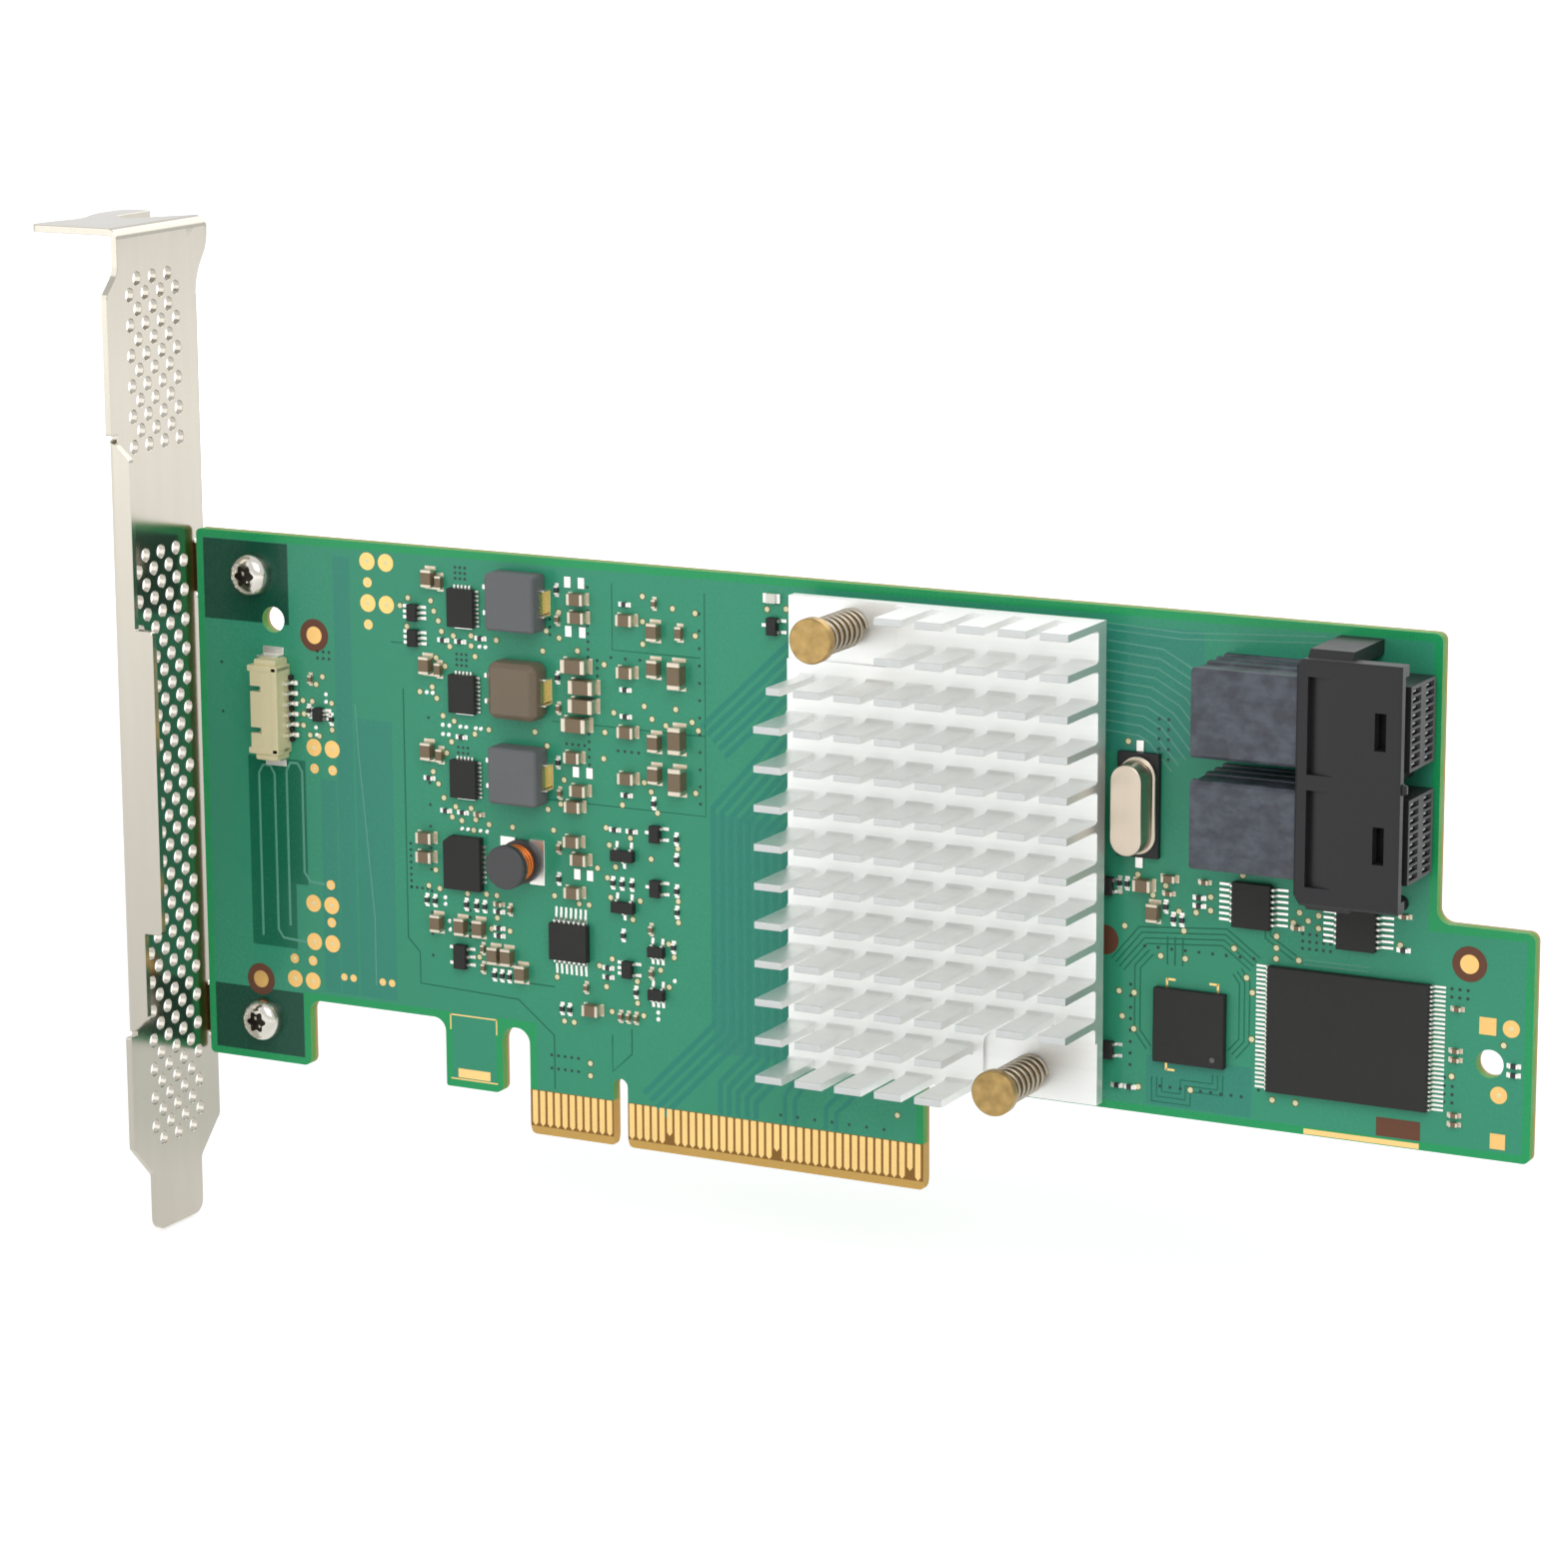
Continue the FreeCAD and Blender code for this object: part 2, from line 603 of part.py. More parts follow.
def port_modules():
    """The moulded bodies behind the hood that hold the contact wafers, ribbed along their sides."""
    bodies = []
    for z in PORT_CENTRES:
        body = block((MODULE_LEFT + PORT_X[0]) / 2, z, PORT_X[0] - MODULE_LEFT, MODULE_WIDE, 0, MODULE_RISE)
        flank = MODULE_WIDE / 2 - 0.01
        body = softened(body, 0.4, lambda p: p.y < 0.01 - MODULE_RISE and abs(p.z - z) > flank)
        grooves = []
        for side in (-1, 1):
            for low, high in ((0.9, 2.2), (3.1, 4.4), (5.6, 8.9)):
                grooves.append(block(MODULE_LEFT + 5.6, z + side * MODULE_WIDE / 2, 11.4, 0.5, low, high))
        relief = block(MODULE_LEFT, z, 0.5, MODULE_WIDE - 1.8, 0.6, MODULE_RISE - 0.5)
        bodies.append(body.cut(grooves + [relief]))
    return group(bodies)


def port_contact_blocks():
    """The insulator blocks that the plugs slide over, with two banks of contact cavities."""
    blocks = []
    low, high = BLOCK_RISE
    start = PORT_X[0] + BACK_WALL
    for z in PORT_CENTRES:
        body = box(start, BLOCK_FACE, -high, -low, z - BLOCK_WIDE / 2, z + BLOCK_WIDE / 2)
        holes = []
        for a, b in ((1.4, 3.7), (5.2, 7.6)):
            for row in range(CAVITY_ROWS):
                centre = z + (row - (CAVITY_ROWS - 1) / 2) * CAVITY_PITCH
                holes.append(box(BLOCK_FACE - 0.8, BLOCK_FACE + 1, -b, -a, centre - 0.27, centre + 0.27))
        blocks.append(body.cut(holes))
    return group(blocks)


# ================================================================ packages with leads
def lead_side(reach, inner, shoulder):
    """Side view of a bent lead as (distance from the package centre, rise)."""
    sheet = 0.15
    return [(reach, 0), (reach, sheet), (inner, shoulder + sheet), (inner, shoulder)]


def lead_row(x, z, across, side, offsets, wide, reach, inner, shoulder):
    """Leads that leave one side of a package; across is "x" or "z", side is -1 or 1."""
    leads = []
    for offset in offsets:
        points = []
        for distance, rise in lead_side(reach, inner, shoulder):
            if across == "x":
                points.append(Vector(x + side * distance, -rise, z + offset - wide / 2))
            else:
                points.append(Vector(x + offset - wide / 2, -rise, z + side * distance))
        face = Part.Face(Part.makePolygon(points + points[:1]))
        push = Vector(0, 0, wide) if across == "x" else Vector(wide, 0, 0)
        leads.append(face.extrude(push))
    return leads


def spread(number, pitch):
    return [(i - (number - 1) / 2) * pitch for i in range(number)]


FLASH_AT = (89.95, 24.2)
FLASH_BODY = (18.4, 14.0)


def flash_body():
    body = block(*FLASH_AT, *FLASH_BODY, 0.1, 1.1)
    return softened(body, 0.12, lambda p: p.y < -1.09)


def flash_leads():
    x, z = FLASH_AT
    leads = []
    for side in (-1, 1):
        leads += lead_row(x, z, "x", side, spread(28, 0.5), 0.22, 10.0, FLASH_BODY[0] / 2, 0.5)
    return group(leads)


BUFFER_LONG, BUFFER_WIDE = 5.0, 4.4
BUFFERS = [(78.7, 37.6, "x"), (90.75, 36.5, "x"), (-6.3, 24.0, "z")]


def buffer_bodies():
    bodies = []
    for x, z, across in BUFFERS:
        wide, high = (BUFFER_WIDE, BUFFER_LONG) if across == "x" else (BUFFER_LONG, BUFFER_WIDE)
        bodies.append(block(x, z, wide, high, 0.1, 1.05))
    return group(bodies)


def buffer_leads():
    leads = []
    for x, z, across in BUFFERS:
        for side in (-1, 1):
            leads += lead_row(x, z, across, side, spread(7, 0.65), 0.25, 3.3, BUFFER_WIDE / 2, 0.5)
    return group(leads)


# small transistors and gates: (x, z, body wide, body high, across, leads on - side, leads on + side)
SMALL_CHIPS = [
    (0.9, 35.0, 2.9, 1.3, "z", (0,), (-0.95, 0.95)),
    (0.9, 28.9, 2.9, 1.3, "z", (0,), (-0.95, 0.95)),
    (5.2, 38.0, 1.25, 2.0, "x", (0,), (-0.65, 0.65)),
    (5.2, 31.6, 1.25, 2.0, "x", (0,), (-0.65, 0.65)),
    (20.5, 63.4, 1.25, 2.0, "x", (0,), (-0.65, 0.65)),
    (1.4, 21.6, 1.25, 2.0, "x", (-0.65, 0, 0.65), (-0.65, 0.65)),
    (5.2, 24.1, 2.0, 1.25, "z", (-0.65, 0, 0.65), (-0.65, 0.65)),
    (5.2, 19.0, 2.0, 1.25, "z", (-0.65, 0, 0.65), (-0.65, 0.65)),
    (-26.8, 61.2, 1.25, 2.0, "x", (-0.65, 0, 0.65), (-0.65, 0, 0.65)),
    (-26.8, 58.2, 1.25, 2.0, "x", (-0.65, 0, 0.65), (-0.65, 0, 0.65)),
    (-21.1, 20.6, 1.6, 2.9, "x", (-0.95, 0.95), (-0.95, 0, 0.95)),
    (-40.2, 47.9, 1.2, 1.6, "x", (-0.5, 0, 0.5), (-0.5, 0, 0.5)),
    (61.9, 19.5, 1.25, 2.0, "x", (0,), (-0.65, 0.65)),
    (61.7, 38.0, 1.25, 2.0, "x", (0,), (-0.65, 0.65)),
]


def small_chip_bodies():
    return group([block(x, z, wide, high, 0.1, 0.95) for x, z, wide, high, *_ in SMALL_CHIPS])


def small_chip_leads():
    leads = []
    for x, z, wide, high, across, minus, plus in SMALL_CHIPS:
        inner = (wide if across == "x" else high) / 2
        for side, offsets in ((-1, minus), (1, plus)):
            leads += lead_row(x, z, across, side, offsets, 0.34, inner + 0.6, inner, 0.4)
    return group(leads)


def logic_body():
    """Flat square package with no visible leads, right of the heatsink."""
    return softened(block(71.6, 23.15, 8.35, 8.35, 0, 1.0), 0.1, lambda p: p.y < -0.99)


# ================================================================ supply: power stages and chokes
STAGE_AT = [(-20.2, 62.25), (-20.2, 52.1), (-20.2, 42.0)]
CHOKES = [(-12.4, 63.75), (-12.35, 43.4)]
CORE_CHOKE = (-12.35, 53.4)
CHOKE_WIDE, CHOKE_HIGH, CHOKE_RISE = 6.5, 6.7, 3.0
CHOKE_FOOT = 0.12
REGULATOR_AT = (-20.5, 31.95)
REGULATOR_SIZE = (5.0, 6.4)
DRUM_AT = (-12.6, 33.0)


def power_stages():
    return group([block(x, z, 3.5, 4.5, 0, 0.9) for x, z in STAGE_AT])


def regulator_body():
    x, z = REGULATOR_AT
    wide, high = REGULATOR_SIZE
    left, right = x - wide / 2, x + wide / 2
    corners = [(left, z - high / 2, 0), (left, z + high / 2 - 0.7, 0), (left + 0.9, z + high / 2, 0),
               (right, z + high / 2, 0), (right, z - high / 2, 0)]
    return prism_y(corners, -1.0, 0)


def choke(x, z, edge):
    body = block(x, z, CHOKE_WIDE, CHOKE_HIGH, CHOKE_FOOT, CHOKE_RISE)
    return softened(body, edge, lambda p: p.y < -CHOKE_FOOT - 0.01)


def power_chokes():
    return group([choke(x, z, 0.3) for x, z in CHOKES])


def core_choke():
    return choke(*CORE_CHOKE, 0.7)


def choke_terminals():
    """Folded strips: a foot under the body that shows beyond it, turned up against the side."""
    terminals = []
    for x, z in CHOKES + [CORE_CHOKE]:
        for side in (-1, 1):
            edge = x + side * CHOKE_WIDE / 2
            foot = block(edge - side * 0.5, z, 2.4, 3.2, 0, CHOKE_FOOT)
            upright = block(edge + side * CHOKE_FOOT / 2, z, CHOKE_FOOT, 2.6, CHOKE_FOOT, 1.5)
            terminals.append(foot.fuse(upright).removeSplitter())
    return group(terminals)


def drum_core():
    """Open ferrite drum: two flanges on a hub."""
    return turned(*DRUM_AT, [(2.6, 0.3), (2.6, 1.1), (1.3, 1.1), (1.3, 3.4), (2.6, 3.4), (2.6, 4.3),
                             (2.4, 4.5)])


def drum_winding():
    """Copper winding between the flanges."""
    outer = turned(*DRUM_AT, [(2.25, 1.1), (2.25, 3.4)])
    return outer.cut(turned(*DRUM_AT, [(1.3, 1.0), (1.3, 3.5)]))


def drum_base():
    """Two tinned plates under the drum."""
    x, z = DRUM_AT
    return group([block(x + side * 1.95, z, 2.0, 5.4, 0, 0.3) for side in (-1, 1)])


# ================================================================ cable header and crystal
HEADER_X = (-48.5, -44.3)
HEADER_AT = 48.3
HEADER_LONG = 12.2
HEADER_RISE = 3.0
HEADER_WAYS = 6


def header_housing():
    x0, x1 = HEADER_X
    shell = block((x0 + x1) / 2, HEADER_AT, x1 - x0, HEADER_LONG, 0, HEADER_RISE)
    mouth = box(x0 - 1, x1 - 1.3, -HEADER_RISE + 0.5, -0.6, HEADER_AT - 4.1, HEADER_AT + 4.1)
    cuts = [mouth]
    for side in (-1, 1):
        cuts.append(box(x0 + 0.9, x0 + 2.0, -HEADER_RISE - 1, -HEADER_RISE + 0.6,
                        HEADER_AT + side * 2.5 - 0.3, HEADER_AT + side * 2.5 + 0.3))
        cuts.append(block(x1 - 0.2, HEADER_AT + side * 5.8, 0.6, 1.4, 1.6, 4))
    for offset in spread(HEADER_WAYS, 1.25):
        cuts.append(block(x1 - 1.0, HEADER_AT + offset, 2.1, 0.42, 1.2, 1.62))
    return shell.cut(cuts)


def header_pins():
    """Bent square pins: they reach into the mouth and end in feet on the board."""
    x1 = HEADER_X[1]
    pins = []
    for offset in spread(HEADER_WAYS, 1.25):
        points = [(x1 - 3.6, 1.2), (x1 + 0.15, 1.2), (x1 + 0.15, 0), (x1 + 1.05, 0), (x1 + 1.05, 0.25),
                  (x1 + 0.5, 0.3), (x1 + 0.5, 1.62), (x1 - 3.6, 1.62)]
        z = HEADER_AT + offset - 0.2
        outline = [Vector(x, -rise, z) for x, rise in points]
        pins.append(Part.Face(Part.makePolygon(outline + outline[:1])).extrude(Vector(0, 0, 0.4)))
    return group(pins)


def header_tabs():
    """Solder tabs at the two ends of the header."""
    tabs = []
    for side in (-1, 1):
        z = HEADER_AT + side * (HEADER_LONG / 2 + 0.55)
        foot = block(-46.5, z, 2.9, 1.1, 0, 0.25)
        riser = block(-46.5, z - side * 0.425, 2.9, 0.25, 0.25, 1.6)
        tabs.append(foot.fuse(riser).removeSplitter())
    return group(tabs)


CRYSTAL_AT = (65.3, 47.4)


def crystal_base():
    return block(*CRYSTAL_AT, 4.9, 11.6, 0, 0.8)


def crystal_can():
    flange = stadium(*CRYSTAL_AT, 4.5, 10.9, 0.8, 1.2)
    can = stadium(*CRYSTAL_AT, 3.7, 10.1, 1.2, 4.1)
    return flange.fuse(can)


def crystal_leads():
    x, z = CRYSTAL_AT
    return group([block(x, z + side * 6.45, 0.9, 1.3, 0, 0.3) for side in (-1, 1)])


# ================================================================ ceramic capacitors and resistors
# (x, z) of each part, by size and by the way its length runs
CERAMICS = {
    ("1206", "x"): [(-4.9, 56.75), (-3.9, 54.4), (-3.95, 52.2), (-4.9, 49.9)],
    ("1206", "z"): [(8.3, 56.8), (8.3, 49.3), (8.3, 44.5)],
    ("0805", "x"): [(-4.7, 64.5), (-4.6, 62.4), (-5.4, 46.0), (-4.65, 42.15), (-5.4, 40.2), (-5.6, 36.05),
                    (-4.7, 34.0), (-5.6, 30.0), (1.7, 62.6), (1.7, 56.55), (1.7, 49.6), (1.7, 44.2),
                    (-25.6, 34.5), (-25.65, 32.2), (-3.4, 16.2), (65.95, 38.5)],
    ("0805", "z"): [(5.3, 61.55), (5.3, 57.3), (5.3, 48.7), (5.3, 45.0), (-24.55, 65.45), (-25.1, 55.15),
                    (-25.1, 44.95), (-24.25, 24.35), (-20.95, 24.3), (-18.5, 24.3), (-16.5, 21.3),
                    (-14.7, 21.3), (-12.8, 19.5), (67.2, 35.6)],
    ("0603", "x"): [(68.9, 39.5)],
    ("0603", "z"): [(8.5, 61.6), (-23.2, 65.0), (-23.5, 54.7), (-23.5, 44.5)],
}
CERAMIC_SIZE = {        # length, width, rise
    "1206": (3.2, 1.65, 1.6),
    "0805": (2.1, 1.35, 1.25),
    "0603": (1.6, 0.8, 0.8),
}


def ceramic_capacitors():
    """Each capacitor is one block, its metal ends flush with the ceramic."""
    blocks = []
    for (size, along), spots in CERAMICS.items():
        length, width, rise = CERAMIC_SIZE[size]
        wide, high = (length, width) if along == "x" else (width, length)
        blocks += [block(x, z, wide, high, 0, rise) for x, z in spots]
    return group(blocks)


def status_lamp():
    """Small indicator: clear lens on a white carrier with tinned ends."""
    return block(20.35, 66.55, 1.2, 1.1, 0, 0.7)


def status_lamp_ends():
    return group([block(20.35 + side * 0.85, 66.55, 0.5, 1.1, 0, 0.4) for side in (-1, 1)])


# ================================================================ build
def main():
    os.makedirs("parts", exist_ok=True)
    save("circuit_board", circuit_board())
    save("edge_contacts_front", edge_contacts(-FOIL, 0, SHORT_FRONT))
    save("edge_contacts_back", edge_contacts(BOARD_THICK, BOARD_THICK + FOIL, SHORT_BACK))
    save("bracket", bracket())
    save("bracket_screws", bracket_screws())
    save("heatsink", heatsink())
    save("thermal_pad", thermal_pad())
    save("controller_lid", controller_lid())
    save("controller_substrate", controller_substrate())
    save("push_pins", push_pins())
    save("push_pin_springs", push_pin_springs())
    save("port_shroud", port_shroud())
    save("port_modules", port_modules())
    save("port_contact_blocks", port_contact_blocks())
    save("flash_body", flash_body())
    save("flash_leads", flash_leads())
    save("buffer_bodies", buffer_bodies())
    save("buffer_leads", buffer_leads())
    save("small_chip_bodies", small_chip_bodies())
    save("small_chip_leads", small_chip_leads())
    save("logic_body", logic_body())
    save("power_stages", power_stages())
    save("regulator_body", regulator_body())
    save("power_chokes", power_chokes())
    save("core_choke", core_choke())
    save("choke_terminals", choke_terminals())
    save("drum_core", drum_core())
    save("drum_winding", drum_winding())
    save("drum_base", drum_base())
    save("header_housing", header_housing())
    save("header_pins", header_pins())
    save("header_tabs", header_tabs())
    save("crystal_base", crystal_base())
    save("crystal_can", crystal_can())
    save("crystal_leads", crystal_leads())
    save("ceramic_capacitors", ceramic_capacitors())
    save("status_lamp", status_lamp())
    save("status_lamp_ends", status_lamp_ends())


main()
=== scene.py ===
"""Storage controller card: the finishes and the fine pieces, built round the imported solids.

Frame, in metres: X runs along the board from the bracket to its free end, Z runs up from the card
edge and Y runs through the board. The component face is the plane Y = 0 and looks to -Y. Sizes in
this file are in millimetres unless a name says otherwise, and "rise" is the height above that face.
"""
import math

import bmesh
import bpy
from mathutils import Matrix, Vector


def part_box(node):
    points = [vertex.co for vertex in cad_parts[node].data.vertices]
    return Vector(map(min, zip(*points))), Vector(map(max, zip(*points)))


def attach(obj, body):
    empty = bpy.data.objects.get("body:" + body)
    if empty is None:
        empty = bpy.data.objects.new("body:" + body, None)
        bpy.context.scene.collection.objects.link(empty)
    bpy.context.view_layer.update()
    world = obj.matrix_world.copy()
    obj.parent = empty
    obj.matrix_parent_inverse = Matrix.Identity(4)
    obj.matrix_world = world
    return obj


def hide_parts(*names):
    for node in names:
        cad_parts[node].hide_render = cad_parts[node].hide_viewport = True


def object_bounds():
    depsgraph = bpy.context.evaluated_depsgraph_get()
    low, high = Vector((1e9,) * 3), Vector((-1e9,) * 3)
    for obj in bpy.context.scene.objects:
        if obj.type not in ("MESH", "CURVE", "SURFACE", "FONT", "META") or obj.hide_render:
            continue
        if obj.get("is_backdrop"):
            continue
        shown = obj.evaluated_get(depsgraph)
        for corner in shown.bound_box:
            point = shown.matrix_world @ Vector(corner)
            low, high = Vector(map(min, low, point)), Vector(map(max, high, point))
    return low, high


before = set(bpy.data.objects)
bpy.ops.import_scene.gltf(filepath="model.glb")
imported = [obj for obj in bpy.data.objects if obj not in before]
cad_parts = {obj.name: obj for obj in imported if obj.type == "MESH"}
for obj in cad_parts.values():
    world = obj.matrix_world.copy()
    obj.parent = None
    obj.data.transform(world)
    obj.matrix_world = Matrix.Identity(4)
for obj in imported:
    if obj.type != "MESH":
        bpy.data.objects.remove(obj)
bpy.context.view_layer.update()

bl_info = {
    "name": "Storage controller card",
    "version": (1, 0, 0),
    "blender": (4, 5, 0),
    "location": "View3D > Sidebar > Card",
    "description": "Builds the pieces and finishes of a storage controller card",
    "category": "Object",
}

MM = 0.001


# ================================================================ sizes and colours
def tone(red, green, blue):
    """A screen colour, 0 to 255, as the linear colour that shaders use."""
    out = []
    for value in (red, green, blue):
        value = value / 255
        out.append(value / 12.92 if value <= 0.04045 else ((value + 0.055) / 1.055) ** 2.4)
    return tuple(out)


def colour(name, description, red, green, blue):
    """A colour property whose default is given as a screen colour."""
    return bpy.props.FloatVectorProperty(name=name, description=description, subtype="COLOR", size=3,
                                         min=0.0, max=1.0, default=tone(red, green, blue))


def size(name, description, default):
    """A length property whose default is given in millimetres."""
    return bpy.props.FloatProperty(name=name, description=description, default=default * MM,
                                   unit="LENGTH", subtype="DISTANCE", precision=5)


def amount(name, description, default, **limits):
    """A plain number property."""
    return bpy.props.FloatProperty(name=name, description=description, default=default, **limits)


class CardSizes(bpy.types.PropertyGroup):
    """Sizes of the bracket's sheet."""
    sheet: size("Sheet", "Thickness of the bracket's sheet steel", 0.86)
    bend: size("Bend radius", "Inside radius of the bracket's folds", 0.45)
    vent: size("Vent", "Diameter of the bracket's vents", 1.6)


class CardColours(bpy.types.PropertyGroup):
    """Colours of the finishes."""
    mask: colour("Solder mask", "Mask over copper", 60, 158, 124)
    mask_dark: colour("Dark solder mask", "Mask over buried traces and copper fields", 56, 146, 127)
    trace_light: colour("Light trace", "Fine traces that glint through the mask", 96, 168, 146)
    laminate: colour("Laminate", "Cut edges of the board", 196, 162, 98)
    via: colour("Via", "Small plated holes under the mask", 14, 58, 50)
    test_dot: colour("Test dot", "Solder on the small test points", 254, 245, 198)
    mask_rim: colour("Board rim", "Mask along the copper-free rim", 38, 168, 102)
    gold: colour("Gold", "Plated pads and contacts", 244, 206, 136)
    pad: colour("Pad gold", "Large round pads and sighting marks", 236, 192, 120)
    tin: colour("Tin", "Solder and tinned leads", 238, 236, 230)
    cap_end: colour("Capacitor end", "Plated ends of the chip parts", 214, 204, 186)
    steel: colour("Bracket steel", "Plated sheet", 184, 179, 168)
    aluminium: colour("Aluminium", "Heatsink", 245, 246, 244)
    brass: colour("Brass", "Push pins", 168, 140, 90)
    epoxy: colour("Chip epoxy", "Moulded chip bodies", 47, 47, 46)
    port: colour("Port plastic", "Black moulding", 34, 34, 36)
    cream: colour("Header plastic", "Cream moulding", 232, 222, 178)
    ceramic: colour("Ceramic", "Capacitor bodies", 124, 106, 80)


class CardStage(bpy.types.PropertyGroup):
    """Camera and light."""
    lens: amount("Focal length", "Camera lens", 113.23, unit="CAMERA", subtype="DISTANCE_CAMERA")
    azimuth: amount("Azimuth", "Camera's turn to the right", 0.48324, subtype="ANGLE")
    elevation: amount("Elevation", "Camera's height as an angle", 0.21342, subtype="ANGLE")
    roll: amount("Roll", "Camera's turn about its line of sight", -0.00456, subtype="ANGLE")
    distance: size("Distance", "From the camera to what it looks at", 555.33)
    ambient: amount("Ambient light", "Brightness of the surroundings", 0.36, min=0.0)
    lamps: amount("Lamps", "Strength of the three lamps", 0.5, min=0.0)


def paint():
    """The card's colour properties."""
    return bpy.context.scene.card_colours


# ================================================================ shader groups
FIELD_EDGE = 0.05               # half the width of a field's soft edge


def new_group(name, inputs, outputs):
    """A shader group, its inputs given by their defaults; its outputs are all numbers."""
    group = bpy.data.node_groups.new(name, "ShaderNodeTree")
    for label, default in inputs.items():
        kind = "NodeSocketFloat" if isinstance(default, float) else "NodeSocketVector"
        group.interface.new_socket(label, in_out="INPUT", socket_type=kind).default_value = default
    for label in outputs:
        group.interface.new_socket(label, in_out="OUTPUT", socket_type="NodeSocketFloat")
    given = group.nodes.new("NodeGroupInput").outputs
    result = group.nodes.new("NodeGroupOutput").inputs
    return group, given, result


def feed(tree, node, inputs):
    """Fill a node's inputs, by name or number, with values or with other nodes' outputs."""
    for label, value in inputs.items():
        if isinstance(value, bpy.types.NodeSocket):
            tree.links.new(value, node.inputs[label])
        else:
            node.inputs[label].default_value = value


def add_node(tree, kind, inputs, **settings):
    """A shader node with its settings and inputs."""
    node = tree.nodes.new("ShaderNode" + kind)
    for label, value in settings.items():
        setattr(node, label, value)
    feed(tree, node, inputs)
    return node


def maths(tree, operation, *inputs):
    """A Math node; each input is a number or another node's output."""
    return add_node(tree, "Math", dict(enumerate(inputs)), operation=operation).outputs[0]


def map_range(tree, value, low, high, to_low=0.0, to_high=1.0):
    """A value carried over from one range to another, and held within it."""
    inputs = {"Value": value, "From Min": low, "From Max": high, "To Min": to_low, "To Max": to_high}
    return add_node(tree, "MapRange", inputs).outputs["Result"]


def grain_group():
    """Fine and broad unevenness of a surface: a value for roughness and a height for bump."""
    name = "surface_grain"
    if name in bpy.data.node_groups:
        return bpy.data.node_groups[name]
    inputs = {"Position": (0, 0, 0), "Fine": 4000.0, "Broad": 120.0, "Low": 0.4, "High": 0.6}
    group, given, result = new_group(name, inputs, ["Value", "Height", "Cloud"])
    noises = []
    for label, detail in (("Fine", 2.0), ("Broad", 4.0)):
        noise = add_node(group, "TexNoise", {"Vector": given["Position"], "Scale": given[label],
                                             "Detail": detail})
        noises.append(noise.outputs["Fac"])
    fine, broad = noises
    blend = maths(group, "ADD", maths(group, "MULTIPLY", fine, 0.4), maths(group, "MULTIPLY", broad, 0.6))
    group.links.new(map_range(group, blend, 0.3, 0.7, given["Low"], given["High"]), result["Value"])
    group.links.new(fine, result["Height"])
    group.links.new(broad, result["Cloud"])
    return group


def brush_group():
    """Long fine scratches along one axis, by squeezing the position across it."""
    name = "brushed_lines"
    if name in bpy.data.node_groups:
        return bpy.data.node_groups[name]
    group, given, result = new_group(name, {"Position": (0, 0, 0), "Stretch": (1, 1, 1)}, ["Lines"])
    squeezed = add_node(group, "VectorMath", {0: given["Position"], 1: given["Stretch"]},
                        operation="MULTIPLY").outputs["Vector"]
    noise = add_node(group, "TexNoise", {"Vector": squeezed, "Scale": 1.0, "Detail": 3.0})
    group.links.new(noise.outputs["Fac"], result["Lines"])
    return group


def field_group():
    """1 inside an upright box of the board's face and 0 outside, with a narrow soft edge."""
    name = "board_field"
    if name in bpy.data.node_groups:
        return bpy.data.node_groups[name]
    inputs = {"Position": (0, 0, 0), "Centre": (0, 0, 0), "Half": (1, 1, 1)}
    group, given, result = new_group(name, inputs, ["Mask"])
    shift = add_node(group, "VectorMath", {0: given["Position"], 1: given["Centre"]},
                     operation="SUBTRACT").outputs["Vector"]
    away = add_node(group, "SeparateXYZ", {0: shift}).outputs
    half = add_node(group, "SeparateXYZ", {0: given["Half"]}).outputs
    inside = []
    for axis in ("X", "Z"):
        room = maths(group, "SUBTRACT", half[axis], maths(group, "ABSOLUTE", away[axis]))
        inside.append(map_range(group, room, -FIELD_EDGE * MM, FIELD_EDGE * MM))
    group.links.new(maths(group, "MULTIPLY", *inside), result["Mask"])
    return group


# ================================================================ materials
MIX_BELOW, MIX_ABOVE, MIX_RESULT = 6, 7, 2      # the Mix node's sockets for colours


def new_material(name):
    """A material with its Principled shader, and the Object coordinate that patterns read."""
    material = bpy.data.materials.new(name)
    material.use_nodes = True
    tree = material.node_tree
    shader = tree.nodes["Principled BSDF"]
    where = tree.nodes.new("ShaderNodeTexCoord").outputs["Object"]
    return material, tree, shader, where


def mix_colour(tree, mask, below, above):
    """Blend two colours, each a colour value or another node's output, by a mask."""
    below, above = [each if isinstance(each, bpy.types.NodeSocket) else (*each[:3], 1.0)
                    for each in (below, above)]
    inputs = {"Factor": mask, MIX_BELOW: below, MIX_ABOVE: above}
    return add_node(tree, "Mix", inputs, data_type="RGBA").outputs[MIX_RESULT]


def place_group(tree, group, where, **values):
    """A use of a shader group at a position, with the values of its other inputs."""
    return add_node(tree, "Group", {"Position": where, **values}, node_tree=group)


def add_bump(tree, shader, height, distance):
    """Relief of a height map, as deep as the distance in millimetres."""
    bump = add_node(tree, "Bump", {"Strength": 1.0, "Distance": distance * MM, "Height": height})
    tree.links.new(bump.outputs["Normal"], shader.inputs["Normal"])


def shaded(rgb, factor):
    """A colour made lighter or darker."""
    return tuple(min(1.0, value * factor) for value in rgb)


